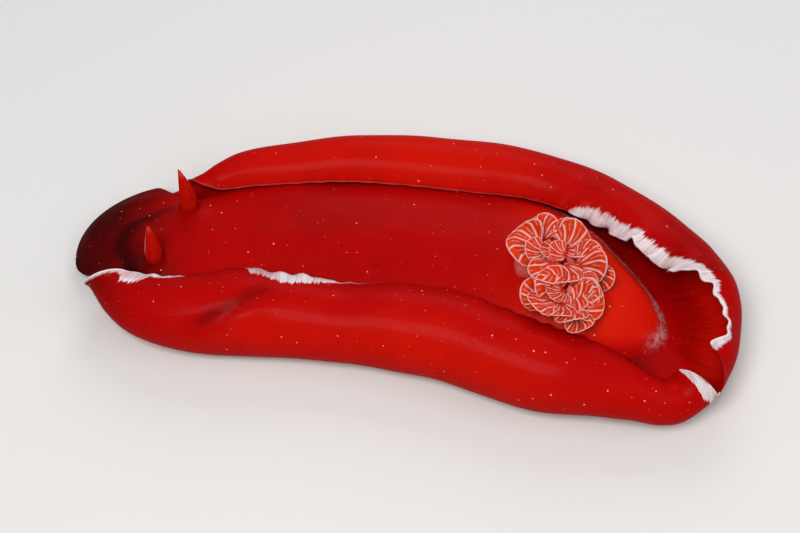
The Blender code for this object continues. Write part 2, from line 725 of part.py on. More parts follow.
def main():
    for obj in list(bpy.data.objects):
        bpy.data.objects.remove(obj)
    scene = bpy.context.scene
    model = bpy.data.collections.new("spanish_dancer")
    cutters = bpy.data.collections.new("cutters")
    scene.collection.children.link(model)
    scene.collection.children.link(cutters)
    angles = station_angles()
    whole = whole_body(angles, cutters)
    foot(angles, model)
    for name, start, end in SECTORS:
        margin_sector(name, start, end, angles, model)
    head_pockets = rhinophores(model, cutters) + oral_tentacles(model, cutters)
    rear_pockets = [gill(n, model, cutters) for n in range(GILL_COUNT)] + [papilla(model, cutters)]
    body_lengths(whole, {"head": head_pockets, "body_rear": rear_pockets}, model, cutters)
    centre_on_floor(model, cutters)
    for tool in cutters.objects:
        tool.hide_render = True
        tool.display_type = "WIRE"
    cutters.hide_render = True


main()
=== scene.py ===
"""Dressed model of a Spanish dancer sea slug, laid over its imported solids."""
import logging
import math
from collections.abc import Callable
from dataclasses import dataclass
from enum import Enum

import bmesh
import bpy
import numpy as np
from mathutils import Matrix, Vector


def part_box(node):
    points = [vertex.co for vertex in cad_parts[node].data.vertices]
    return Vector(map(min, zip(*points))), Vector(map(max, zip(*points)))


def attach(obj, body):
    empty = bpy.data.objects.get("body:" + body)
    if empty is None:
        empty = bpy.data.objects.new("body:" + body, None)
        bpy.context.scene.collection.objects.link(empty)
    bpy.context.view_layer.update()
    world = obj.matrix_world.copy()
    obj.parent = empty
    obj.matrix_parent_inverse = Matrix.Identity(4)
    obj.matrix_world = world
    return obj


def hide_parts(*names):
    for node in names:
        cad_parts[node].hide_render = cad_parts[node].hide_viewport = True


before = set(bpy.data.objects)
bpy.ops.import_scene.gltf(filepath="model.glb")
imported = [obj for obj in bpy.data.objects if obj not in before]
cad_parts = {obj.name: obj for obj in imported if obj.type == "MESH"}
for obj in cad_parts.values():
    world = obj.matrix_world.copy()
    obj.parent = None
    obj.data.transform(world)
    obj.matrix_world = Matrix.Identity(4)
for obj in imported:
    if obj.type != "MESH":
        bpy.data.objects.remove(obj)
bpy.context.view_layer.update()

LOG = logging.getLogger("sea_slug")
Array = np.ndarray
Pair = tuple[float, float]
Triple = tuple[float, float, float]
Colour = Triple
Faces = list[tuple[int, ...]]
Socket, Node, Group = bpy.types.NodeSocket, bpy.types.Node, bpy.types.NodeTree
Piece, Mesh, Material = bpy.types.Object, bpy.types.Mesh, bpy.types.Material
MM = 0.001
# Distance in millimetres that stands for a point off the margin.
FAR = 90.0
# Plan position of the vent tube in the shape's own frame, in millimetres.
VENT = (61.0, -4.0)
# Strength of the shade at the front of the head.
HEAD_SHADE = 0.62
# What the gill finish reads on stalks, which have no ribs.
BARE_STALK = {"rib": 40.0, "reach": 0.05, "outer": 1.0, "rim": 0.0}


class Side(Enum):
    """The animal's own sides, as the sign of Y."""

    RIGHT = 1
    LEFT = -1

    @property
    def word(self) -> str:
        """Lower-case name used in node names."""
        return self.name.lower()


class Face(Enum):
    """Part of the skin's section, as the number stored for it."""

    INNER = 0.0
    EDGE = 0.5
    OUTER = 1.0
    SOLE = 2.0


class LobeKind(Enum):
    """Cut of a gill lobe, as the number of its mesh."""

    WIDE = 0
    NARROW = 1


def operator(operation: str, number_first: bool = False) -> Callable[["Value", "Value | float"], "Value"]:
    """Makes one arithmetic method of Value.

    Args:
        operation: Operation of the Math node.
        number_first: Whether the other operand comes first.

    Returns:
        The method.
    """

    def method(self: "Value", other: "Value | float") -> "Value":
        """Adds a Math node for both operands."""
        return self.tree.math(operation, *((other, self) if number_first else (self, other)))

    return method


class Value:
    """A number in a node tree that takes ordinary arithmetic."""

    __add__, __radd__ = operator("ADD"), operator("ADD", True)
    __sub__, __rsub__ = operator("SUBTRACT"), operator("SUBTRACT", True)
    __mul__, __rmul__ = operator("MULTIPLY"), operator("MULTIPLY", True)
    __truediv__, __rtruediv__ = operator("DIVIDE"), operator("DIVIDE", True)
    __pow__ = operator("POWER")

    def __init__(self, tree: "Tree", socket: Socket) -> None:
        """Wraps one output socket."""
        self.tree, self.socket = tree, socket

    def __abs__(self) -> "Value":
        """Size without sign."""
        return self.tree.math("ABSOLUTE", self)

    def fract(self) -> "Value":
        """Part after the whole number."""
        return self.tree.math("FRACT", self)

    def step(self, low: "Value | float", high: "Value | float") -> "Value":
        """Smooth step from 0 at low to 1 at high.

        Args:
            low: Value that gives 0.
            high: Value that gives 1, which may be the smaller.

        Returns:
            The stepped value.
        """
        share = (self - low) / (high - low)
        share.socket.node.use_clamp = True
        return share * share * (3.0 - 2.0 * share)


class Tree:
    """A node tree under construction, for a material or for geometry."""

    def __init__(self, tree: Group) -> None:
        """Wraps an existing tree."""
        self.tree = tree

    def node(self, kind: str, settings: dict | None = None, inputs: dict | None = None) -> Node:
        """Adds any node.

        Args:
            kind: Type name of the node.
            settings: Plain properties, set before the sockets.
            inputs: Values or links by socket name or number.

        Returns:
            The node.
        """
        made = self.tree.nodes.new(kind)
        for key, value in (settings or {}).items():
            setattr(made, key, value)
        for key, value in (inputs or {}).items():
            self.feed(made.inputs[key], value)
        return made

    def feed(self, socket: Socket, value: object) -> None:
        """Links a socket, or sets its number, vector or colour.

        Args:
            socket: Input socket.
            value: What it gets.
        """
        if isinstance(value, Value):
            value = value.socket
        if isinstance(value, Socket):
            self.tree.links.new(value, socket)
        elif isinstance(value, tuple) and len(socket.default_value) == 4:
            socket.default_value = (*value[:3], 1.0)
        else:
            socket.default_value = value

    def math(self, operation: str, *values: "Value | float") -> Value:
        """Adds a Math node."""
        made = self.node("ShaderNodeMath", {"operation": operation}, dict(enumerate(values)))
        return Value(self, made.outputs[0])

    def vector(self, x: object, y: object, z: object) -> Socket:
        """Joins three numbers to a vector."""
        return self.node("ShaderNodeCombineXYZ", None, {0: x, 1: y, 2: z}).outputs[0]


class Paint(Tree):
    """One node material under construction."""

    def __init__(self, name: str) -> None:
        """Starts a material with its main shader.

        Args:
            name: Name of the material.
        """
        self.material = bpy.data.materials.new(name)
        self.material.use_nodes = True
        super().__init__(self.material.node_tree)
        self.shader = self.tree.nodes["Principled BSDF"]

    def attribute(self, name: str) -> Value:
        """Reads a number stored on the piece's points."""
        return Value(self, self.node("ShaderNodeAttribute", {"attribute_name": name}).outputs["Fac"])

    def place(self) -> Socket:
        """Object coordinates in metres."""
        return self.node("ShaderNodeTexCoord").outputs["Object"]

    def noise(self, vector: Socket, scale: float, detail: float = 3.0, warp: float = 0.0) -> Value:
        """Smooth noise from about 0 to 1."""
        inputs = {"Vector": vector, "Scale": scale, "Detail": detail, "Distortion": warp}
        return Value(self, self.node("ShaderNodeTexNoise", None, inputs).outputs["Fac"])

    def ring_noise(self, across: float, scale: float, detail: float = 2.0) -> Value:
        """Noise that follows the margin, in streaks from the root to the edge.

        Args:
            across: Share that the distance from the root counts for.
            scale: Cells per metre round the body.
            detail: Detail of the noise.

        Returns:
            The noise, from about 0 to 1.
        """
        ring = self.node("ShaderNodeAttribute", {"attribute_name": "ring"}).outputs["Vector"]
        inputs = {0: ring, 1: (1.0, 1.0, across)}
        stretched = self.node("ShaderNodeVectorMath", {"operation": "MULTIPLY"}, inputs)
        return self.noise(stretched.outputs[0], scale, detail)

    def bleed(self, weight: float, depth: float, reach: Colour) -> None:
        """Lets light bleed through the surface: its share, depth in metres and reach by colour."""
        self.surface(Subsurface_Weight=weight, Subsurface_Scale=depth)
        self.shader.inputs["Subsurface Radius"].default_value = reach

    def specks(self, scale: float, share: float, radius: float) -> Value:
        """Scattered round dots of uneven size.

        Args:
            scale: Cells per metre.
            share: Share of the cells that hold a dot.
            radius: Radius of the largest dot as a share of a cell.

        Returns:
            1 inside a dot and 0 outside.
        """
        cells = self.node("ShaderNodeTexVoronoi", None, {"Vector": self.place(), "Scale": scale})
        split = self.node("ShaderNodeSeparateColor", None, {0: cells.outputs["Color"]})
        distance, chance = Value(self, cells.outputs["Distance"]), Value(self, split.outputs[0])
        size = radius * (0.45 + 0.55 * Value(self, split.outputs[1]))
        return distance.step(size, size * 0.5) * chance.step(1.0 - share, 1.0 - share + 0.02)

    def mix(self, share: "Value | float", a: object, b: object) -> Socket:
        """Blends two colours."""
        return self.node("ShaderNodeMix", {"data_type": "RGBA"}, {0: share, 6: a, 7: b}).outputs[2]

    def bump(self, height: Value, distance: float, strength: float) -> None:
        """Drives the shader's normal with a height times a distance in metres."""
        inputs = {"Height": height, "Distance": distance, "Strength": strength}
        self.feed(self.shader.inputs["Normal"], self.node("ShaderNodeBump", None, inputs).outputs[0])

    def surface(self, **values: object) -> None:
        """Sets or links the shader's sockets, named with _ for a space."""
        for key, value in values.items():
            self.feed(self.shader.inputs[key.replace("_", " ")], value)


@dataclass(frozen=True)
class SkinFinish:
    """Soft red skin with pale specks and a white streaked margin band."""

    dark: Colour = (0.035, 0.0002, 0.0003)
    deep: Colour = (0.34, 0.0003, 0.0003)
    bright: Colour = (0.47, 0.0040, 0.0003)
    orange: Colour = (0.53, 0.0120, 0.0008)
    white: Colour = (0.66, 0.60, 0.62)
    pink: Colour = (0.50, 0.27, 0.28)
    speck: Colour = (0.80, 0.25, 0.18)
    sole: Colour = (0.60, 0.05, 0.02)
    # Tones between which each brighter red takes over.
    tones: tuple = ((-0.45, 0.15), (0.15, 0.75), (0.75, 1.35))
    cloud_tone: float = 0.6
    grain_tone: float = 0.08
    line_share: float = 0.28
    # Large and small dots: cells per metre, share of the cells with a dot, radius as a share of a cell.
    dots: tuple = ((230.0, 0.55, 0.12), (480.0, 0.24, 0.14))
    frost_share: float = 0.75
    # Margin band in millimetres: width from which it is ragged, length of its hairs and tufts, half its blur.
    ragged: float = 6.0
    hair: float = 5.0
    tuft: float = 4.0
    blur: float = 0.7
    clear_share: float = 0.35

    def build(self) -> Material:
        """Makes the skin material.

        Returns:
            The finished material.
        """
        p = Paint("soft_red_skin")
        spot = p.place()
        edge, reach = p.attribute("edge_mm"), p.attribute("band_mm")
        cloud, grain = p.noise(spot, 26.0, 4.0), p.noise(spot, 420.0)
        # The glow attribute mixes painted light and shade (highlights on the rolls; shade in the trough, the
        # creases and at the head) with other changes in the brightness of the red.
        tone = p.attribute("glow") + (cloud - 0.5) * self.cloud_tone + (grain - 0.5) * self.grain_tone
        base = self.dark
        for span, colour in zip(self.tones, (self.deep, self.bright, self.orange)):
            base = p.mix(tone.step(*span), base, colour)
        lines = p.attribute("lines") * p.ring_noise(0.05, 520.0).step(0.46, 0.74)
        base = p.mix(lines * self.line_share, base, self.dark)
        base = p.mix(p.attribute("sole"), base, self.sole)
        large, small = (p.specks(*row) for row in self.dots)
        base = p.mix(large * 0.9 + small * 0.5, base, self.speck)
        frost = 0.15 + 0.85 * p.noise(spot, 420.0, 4.0, 1.0).step(0.40, 0.60)
        base = p.mix(p.attribute("frost") * frost * self.frost_share, base, self.pink)
        hairs, tufts, waves = p.ring_noise(0.06, 1700.0), p.ring_noise(0.10, 420.0), p.ring_noise(0.2, 90.0)
        ragged = reach.step(0.0, self.ragged) * (self.hair * (hairs - 0.5) + self.tuft * (tufts - 0.5))
        limit = reach * (0.60 + 0.70 * waves) + ragged
        band = edge.step(limit + self.blur, limit - self.blur) * reach.step(0.5, 1.3)
        pale = p.mix(hairs.step(0.34, 0.50) * 0.6 + 0.4 * tufts.step(0.36, 0.52), self.pink, self.white)
        clear = p.ring_noise(1.0, 45.0, 1.0).step(0.52, 0.64)
        base = p.mix(band * (1.0 - self.clear_share * clear), base, pale)
        base = p.mix(edge.step(0.75, 0.3) * p.attribute("rim"), base, self.white)
        p.bump(cloud * 0.35 + grain * 0.07 + lines * 0.14 + hairs * band * 0.3 + large * 0.05, 0.0012, 0.5)
        p.surface(Base_Color=base, Roughness=0.56 + 0.14 * grain + 0.10 * band)
        p.surface(Specular_IOR_Level=0.03, Coat_Weight=0.02, Coat_Roughness=0.2)
        p.bleed(0.10, 0.003, (1.0, 0.15, 0.08))
        return p.material


@dataclass(frozen=True)
class GillFinish:
    """Orange-red gill lobes with white ribs and a white rim."""

    flesh: Colour = (0.56, 0.034, 0.003)
    deep: Colour = (0.36, 0.006, 0.001)
    rib: Colour = (0.72, 0.34, 0.32)
    stalk: Colour = (0.58, 0.105, 0.105)
    rib_width: float = 0.12
    rib_wander: float = 0.25
    fine_share: float = 0.42

    def build(self) -> Material:
        """Makes the gill material.

        Returns:
            The finished material.
        """
        p = Paint("gill_lobe")
        spot = p.place()
        reach, outer, rim = p.attribute("reach"), p.attribute("outer"), p.attribute("rim")
        mottle, broken = p.noise(spot, 520.0), p.noise(spot, 330.0, 1.0).step(0.38, 0.56)
        path = p.attribute("rib") + (p.noise(spot, 160.0, 2.0) - 0.5) * self.rib_wander
        width = self.rib_width / (reach + self.rib_width)
        fine = abs(path.fract() - 0.5).step(width, width * 0.4) * reach.step(0.30, 0.52)
        coarse = abs((path * 0.5 + 0.25).fract() - 0.5).step(width * 0.75, width * 0.35)
        strong = coarse * reach.step(0.14, 0.36)
        ribs = strong + fine * broken * self.fine_share * (1.0 - strong)
        base = p.mix(mottle.step(0.3, 0.7) * 0.35 + reach.step(0.55, 0.05) * 0.45, self.flesh, self.deep)
        base = p.mix(outer * reach.step(0.8, 0.1) * 0.8, base, self.stalk)
        base = p.mix(ribs * (0.9 - 0.35 * outer), base, self.rib)
        base = p.mix(rim, base, self.rib)
        p.bump(ribs * 0.5 + rim * 0.4 + mottle * 0.12, 0.0005, 0.6)
        p.surface(Base_Color=base, Roughness=0.45, Specular_IOR_Level=0.04)
        p.bleed(0.12, 0.002, (1.0, 0.25, 0.15))
        return p.material


@dataclass(frozen=True)
class FeelerFinish:
    """Orange-red feeler, paler on its leaves and along its front."""

    stalk: Colour = (0.30, 0.0005, 0.0004)
    leaf: Colour = (0.40, 0.0040, 0.0006)
    tip: Colour = (0.56, 0.050, 0.035)
    line: Colour = (0.66, 0.26, 0.25)

    def build(self) -> Material:
        """Makes the feeler material.

        Returns:
            The finished material.
        """
        p = Paint("feeler_leaves")
        up = p.attribute("up")
        mottle = p.noise(p.place(), 500.0, 3.0)
        base = p.mix(up.step(0.20, 0.50), self.stalk, self.leaf)
        base = p.mix(up.step(0.93, 1.0) * 0.5, base, self.tip)
        base = p.mix(mottle.step(0.35, 0.75) * 0.35, base, self.stalk)
        base = p.mix(p.attribute("keel"), base, self.line)
        p.bump(mottle, 0.0004, 0.5)
        p.surface(Base_Color=base, Roughness=0.50, Specular_IOR_Level=0.02)
        return p.material


@dataclass(frozen=True)
class FloorFinish:
    """Plain pale studio floor."""

    colour: Colour = (0.62, 0.61, 0.60)

    def build(self) -> Material:
        """Makes the floor material.

        Returns:
            The finished material.
        """
        p = Paint("pale_floor")
        p.surface(Base_Color=self.colour, Roughness=0.85)
        return p.material


def step(x: Array | float, low: float, high: float) -> Array:
    """Smooth step from 0 at low to 1 at high."""
    t = np.clip((np.asarray(x, float) - low) / (high - low), 0, 1)
    return t * t * (3 - 2 * t)


def bell(x: Array | float, middle: float, spread: float) -> Array:
    """Bell curve of height 1."""
    return np.exp(-(((np.asarray(x, float) - middle) / spread) ** 2))


def turn_gap(theta: Array, middle: float) -> Array:
    """Smallest turn in degrees between angles and a middle."""
    return np.abs((np.asarray(theta) - middle + 180.0) % 360.0 - 180.0)


def ring_table(theta: Array, table: tuple) -> Array:
    """Smooth values that repeat every full turn.

    Args:
        theta: Angles in degrees, from 0.
        table: Rows of angle and value, from angle 0.

    Returns:
        The values at the angles.
    """
    angles, values = np.array((*table, (360, table[0][1])), float).T
    spot = np.interp(theta, angles, np.arange(len(angles)))
    i = np.minimum(spot.astype(int), len(table) - 1)
    return values[i] + (values[i + 1] - values[i]) * step(spot - i, 0, 1)


def hermite(share: Array, gap: Array, ends: tuple[Array, Array], slopes: tuple[Array, Array]) -> Array:
    """Smooth way between two values.

    Args:
        share: Share of the way.
        gap: Length of the way.
        ends: Values at its start and end.
        slopes: Slopes at its start and end.

    Returns:
        The values.
    """
    rest = 1 - share
    value = (1 + 2 * share) * rest**2 * ends[0] + share * share * (3 - 2 * share) * ends[1]
    return value + gap * (share * rest**2 * slopes[0] - share * share * rest * slopes[1])


def unit(vectors: Array) -> Array:
    """Vectors brought to length 1."""
    return vectors / np.linalg.norm(vectors, axis=-1, keepdims=True)


def round_angles(sides: int) -> Array:
    """Even angles of a full turn in radians."""
    return np.linspace(0, 2 * math.pi, sides, endpoint=False)


def point_rows(x: Array | float, y: Array | float, z: Array | float) -> Array:
    """Points from coordinates that spread over rows and columns, row by row."""
    return np.stack(np.broadcast_arrays(x, y, z), -1).reshape(-1, 3)


def lathe(centre: Pair, profile: tuple, rings: int, sides: int, fold: tuple) -> Array:
    """Rings round an upright axis, with folds in them.

    Args:
        centre: Plan position of the axis.
        profile: Rows of radius and height.
        rings: Number of rings.
        sides: Points in a ring.
        fold: Number of folds, their depth as a share of the radius, lift, and the heights they grow between.

    Returns:
        The points, ring by ring.
    """
    table, turn = np.array(profile), round_angles(sides)[None, :]
    spots = np.linspace(0, len(table) - 1, rings)
    radius, up = (np.interp(spots, np.arange(len(table)), table[:, k])[:, None] for k in range(2))
    count, depth, lift, low, high = fold
    crown = step(up, low, high)
    wide = radius * (1 + depth * crown * np.cos(count * turn))
    lifted = up + lift * crown * np.cos(count * turn + 0.7)
    return point_rows(centre[0] + wide * np.cos(turn), centre[1] + wide * np.sin(turn), lifted)


def grid_faces(rows: int, columns: int, wrap: bool = False) -> Faces:
    """Quads of a grid of points stored row by row.

    Args:
        rows: Number of rows.
        columns: Points in a row.
        wrap: Whether each row closes on itself.

    Returns:
        The quads.
    """
    wide = columns if wrap else columns - 1
    corners = ((r * columns, c, (c + 1) % columns) for r in range(rows - 1) for c in range(wide))
    return [(a + c, a + d, a + columns + d, a + columns + c) for a, c, d in corners]


def tube_faces(rings: int, sides: int) -> Faces:
    """Faces of a tube of rings, closed by a flat face at both ends."""
    last = (rings - 1) * sides
    return grid_faces(rings, sides, wrap=True) + [tuple(range(sides)), tuple(range(last, last + sides))]


def add_object(name: str, data: bpy.types.ID) -> Piece:
    """Makes an object in the scene.

    Args:
        name: Object name.
        data: Its mesh, light or camera.

    Returns:
        The object.
    """
    obj = bpy.data.objects.new(name, data)
    bpy.context.scene.collection.objects.link(obj)
    return obj


def make_piece(name: str, verts: Array, faces: Faces, material: Material, shift: Array | float) -> Piece:
    """Makes a smooth mesh object with its faces turned outwards.

    Args:
        name: Object name.
        verts: Points in millimetres in the shape's own frame.
        faces: Faces by vertex number.
        material: Finish of the whole piece.
        shift: Step in millimetres from the shape's frame to the model's.

    Returns:
        The object, linked to the scene, with its place in its mesh.
    """
    mesh = bpy.data.meshes.new(name)
    mesh.from_pydata(((np.asarray(verts, float) + shift) * MM).tolist(), [], faces)
    mesh.materials.append(material)
    work = bmesh.new()
    work.from_mesh(mesh)
    bmesh.ops.recalc_face_normals(work, faces=work.faces)
    if work.calc_volume(signed=True) < 0:
        bmesh.ops.reverse_faces(work, faces=work.faces)
    work.to_mesh(mesh)
    work.free()
    mesh.polygons.foreach_set("use_smooth", np.ones(len(mesh.polygons), bool))
    mesh.update()
    return add_object(name, mesh)


def store(obj: Piece, **values: Array | float) -> None:
    """Stores numbers or vectors on the points of a mesh.

    Args:
        obj: The object.
        values: Values by attribute name, one for all points or one for each.
    """
    count = len(obj.data.vertices)
    for name, value in values.items():
        value = np.asarray(value, np.float32)
        if value.ndim == 0:
            value = np.full(count, value, np.float32)
        kind, key = ("FLOAT_VECTOR", "vector") if value.ndim == 2 else ("FLOAT", "value")
        obj.data.attributes.new(name, kind, "POINT").data.foreach_set(key, value.ravel())


def store_plain_skin(
    obj: Piece, points: Array, glow: Array | float, frost: Array | float = 0.0, sole: float = 0.0
) -> None:
    """Stores what the skin's finish reads, for a piece that has no margin band.

    Args:
        obj: The piece.
        points: Its points in millimetres.
        glow: Brightness of the red.
        frost: Strength of the pale grains.
        sole: Share of the sole's paler colour.
    """
    store(obj, ring=points * MM, edge_mm=FAR, band_mm=0.0, rim=0.0, lines=0.0)
    store(obj, glow=glow, frost=frost, sole=sole)


def head_shade(x: Array) -> Array:
    """Painted shade that grows towards the front of the head, from 0 to 1."""
    return step(-x, 68, 146)


def run_geometry(tree: Group, sizes: dict[str, object], mesh: Mesh | None = None) -> Mesh:
    """Runs a geometry tree once and turns what it makes into a plain mesh.

    Args:
        tree: The node group.
        sizes: Values of its named inputs.
        mesh: Mesh that the tree starts from, or none.

    Returns:
        The plain mesh.
    """
    holder = add_object("holder", mesh or bpy.data.meshes.new("holder"))
    modifier = holder.modifiers.new("shape", "NODES")
    modifier.node_group = tree
    for item in tree.interface.items_tree:
        if item.in_out == "INPUT" and item.name in sizes:
            modifier[item.identifier] = sizes[item.name]
    holder.update_tag()
    bpy.context.view_layer.update()
    graph = bpy.context.evaluated_depsgraph_get()
    made = bpy.data.meshes.new_from_object(holder.evaluated_get(graph), depsgraph=graph)
    bpy.data.objects.remove(holder)
    return made


def mesh_parts(mesh: Mesh) -> tuple[Array, Faces]:
    """Points in millimetres and faces of a mesh."""
    return np.array([v.co[:] for v in mesh.vertices]) / MM, [tuple(f.vertices) for f in mesh.polygons]


def geometry_tree(name: str, inputs: dict[str, str]) -> tuple[Tree, Node]:
    """Starts a geometry tree.

    Args:
        name: Name of the node group.
        inputs: Kind of socket by input name.

    Returns:
        The tree and its input node.
    """
    tree = bpy.data.node_groups.new(name, "GeometryNodeTree")
    tree.interface.new_socket("Geometry", in_out="OUTPUT", socket_type="NodeSocketGeometry")
    for key, kind in inputs.items():
        tree.interface.new_socket(key, in_out="INPUT", socket_type="NodeSocket" + kind)
    made = Tree(tree)
    return made, made.node("NodeGroupInput")


def close_tree(tree: Tree, instances: Socket, finish: Socket) -> Group:
    """Ends a geometry tree in real geometry with its material.

    Args:
        tree: The tree.
        instances: Its last geometry.
        finish: Socket that holds the material.

    Returns:
        The node group.
    """
    real = tree.node("GeometryNodeRealizeInstances", None, {0: instances})
    paint = tree.node("GeometryNodeSetMaterial", None, {"Geometry": real.outputs[0], "Material": finish})
    tree.node("NodeGroupOutput", None, {0: paint.outputs[0]})
    return tree.tree


@dataclass
class BodyShape:
    """The rule that gives every point of the body, the same one as the solids follow."""

    root_middle: float = -5.0
    root_half: float = 113.0
    waist: float = 30.0
    hip: Triple = (10.0, 0.65, 0.35)
    cheek: Triple = (4.5, -0.8, 0.3)
    core: float = 0.74
    heel_heading: float = 60.0
    blur: float = 3.0
    ruffle_heading: float = 50.0
    ruffle_waves: int = 18
    ruffle_from: float = 0.72
    root_thickness: float = 5.0
    edge_thickness: float = 0.9
    thin_power: float = 1.2
    hump_power: float = 6.0
    hump_spread: float = 50.0
    settle: float = 3.0
    steps: int = 240
    blur_shifts: tuple = (-1.0, -0.5, 0.0, 0.5, 1.0)
    # Small pleats of the free edge: number, how far and how often they wander, strength.
    pleats: tuple = ((61, 1.7, 7, 1.0), (97, 2.1, 11, 0.7))
    pleat_from: float = 0.88
    pleat_heading: Pair = (4.0, 29.0)
    head_calm: float = 0.85
    spine: tuple = ((-150, -12), (-100, -8), (-50, 2), (0, 7), (45, 4.5), (75, -4), (105, -17), (150, -30))
    crest: tuple = ((-120, 17), (-95, 20.5), (-60, 22.5), (0, 23.5), (40, 25), (70, 26), (95, 24), (115, 20))
    # Each entry: angle, root height, lead, droop, heel radius, roll radius, end heading, lip, ruffle.
    stations: tuple = (
        (0, 12.5, 16, -12, 10, 13.5, 128, 6, 0.3), (7, 12.5, 17.5, -13, 10, 14, 140, 7, 0.4),
        (14, 12.8, 19, -15, 10, 14.5, 172, 7, 0.5), (24, 13.2, 19.5, -21, 10, 14.5, 200, 6, 0.8),
        (35, 13.5, 18, -28, 10, 13.8, 216, 5, 0.7), (50, 14, 14.8, -36, 9, 13.2, 231, 3, 0.3),
        (62, 14, 14, -40, 8, 12.6, 236, 2, 0), (75, 14, 14, -40, 8, 13.2, 240, 2, 0),
        (88, 14, 13, -40, 8, 12.7, 240, 2, 0), (100, 14, 11.2, -40, 8, 11.7, 240, 2, 0),
        (115, 13.5, 10.5, -40, 7, 10.3, 240, 1.5, 0), (127, 13, 9.5, -34, 6, 8.4, 240, 1.5, 0),
        (133, 12.5, 7.5, -26, 5, 6.4, 236, 1.5, 0), (138, 12, 5.5, -16, 4.5, 3.6, 200, 1.2, 0),
        (141.5, 11.8, 5, -11, 4.5, 3, 100, 1.2, 0), (144.5, 11.7, 7, -8, 6, 6, 10, 1.5, 0),
        (150, 11.5, 10, -5, 10, 16, -20, 3, 0), (165, 11, 9.5, -5, 12, 18, -34, 3, 0),
        (185, 11, 8.5, -5, 12, 18, -38, 3, 0), (193, 11.2, 8, -10, 11, 15, -20, 3, 0),
        (200, 12, 9, -18, 9, 9, 100, 5, 0), (207, 12.6, 11, -27, 8.5, 9.6, 180, 4, 0.1),
        (216, 13.3, 13.3, -36, 8, 11.8, 208, 4, 0.1), (228, 14, 14.2, -41, 8, 14.8, 216, 4, 0),
        (240, 14, 14, -42, 8, 16.4, 224, 4, 0), (250, 14, 14, -42, 8, 15.3, 206, 7, 0.1),
        (262, 14, 14, -42, 8, 15, 220, 4, 0), (273, 14, 14, -42, 8, 16.4, 232, 3, 0),
        (285, 14, 14.3, -41, 8, 17, 230, 2, 0), (297, 14, 15, -40, 8, 16.8, 229, 2, 0),
        (310, 14, 14.5, -38, 8, 15.5, 229, 2, 0), (320, 13.8, 14, -35, 8, 13.5, 230, 2, 0),
        (330, 13.3, 16, -29, 8, 11, 232, 3, 0.1), (337, 13, 19.5, -24, 8, 9, 232, 3, 0.1),
        (342.5, 12.8, 21.5, -20, 8, 7.5, 225, 3, 0), (346, 12.8, 21, -18, 8, 10, 140, 7, 0),
        (349.5, 12.7, 20.5, -17, 8, 18, 72, 4, 0), (353, 12.6, 18, -15, 9, 12, 138, 8, 0),
        (356.5, 12.5, 17, -13, 9.5, 13, 130, 6, 0.6),
    )

    def station(self, theta: Array, column: int) -> Array:
        """Smooth value of one column of the stations at any angle.

        Args:
            theta: Angles round the body in degrees.
            column: Column of the stations.

        Returns:
            The values, which never overshoot the rows.
        """
        table = np.array(self.stations, float)
        angles, values = table[:, 0], table[:, column]
        gap = np.diff(np.append(angles, angles[0] + 360.0))
        slope = np.diff(np.append(values, values[0])) / gap
        before = np.roll(slope, 1)
        same = slope * before > 0
        tangent = np.where(same, 2 * slope * before / np.where(same, slope + before, 1), 0)
        theta = np.mod(np.asarray(theta, float) - angles[0], 360.0) + angles[0]
        i = np.clip(np.searchsorted(angles, theta, side="right") - 1, 0, len(angles) - 1)
        j = (i + 1) % len(angles)
        ends, slopes = (values[i], values[j]), (tangent[i], tangent[j])
        return hermite((theta - angles[i]) / gap[i], gap[i], ends, slopes)

    @staticmethod
    def line(x: Array, table: tuple) -> Array:
        """Smooth curve through rows of position and value.

        Args:
            x: Positions.
            table: Rows of position and value.

        Returns:
            The values at the positions.
        """
        xs, ys = np.array(table, float).T
        tangent = np.gradient(ys, xs)
        i = np.clip(np.searchsorted(xs, x) - 1, 0, len(xs) - 2)
        gap = xs[i + 1] - xs[i]
        ends, slopes = (ys[i], ys[i + 1]), (tangent[i], tangent[i + 1])
        return hermite((x - xs[i]) / gap, gap, ends, slopes)

    def root(self, theta: Array) -> Array:
        """Plan position of the line where the margin leaves the body.

        Args:
            theta: Angles round the body in degrees.

        Returns:
            The positions.
        """
        c, s = np.cos(np.radians(theta)), np.sin(np.radians(theta))
        half = self.waist + self.hip[0] * bell(c, *self.hip[1:]) + self.cheek[0] * bell(c, *self.cheek[1:])
        x = self.root_middle + self.root_half * c
        return np.stack([x, half * s + self.line(x, self.spine)], -1)

    def outward(self, theta: Array) -> Array:
        """Plan direction away from the body, at right angles to the root line."""
        run = unit(self.root(theta + 0.05) - self.root(theta - 0.05))
        return np.stack([run[..., 1], -run[..., 0]], -1)

    def middle(self, theta: Array) -> Array:
        """Plan position of the middle line of the back."""
        x = self.root_middle + self.core * self.root_half * np.cos(np.radians(theta))
        return np.stack([x, self.line(x, self.spine)], -1)

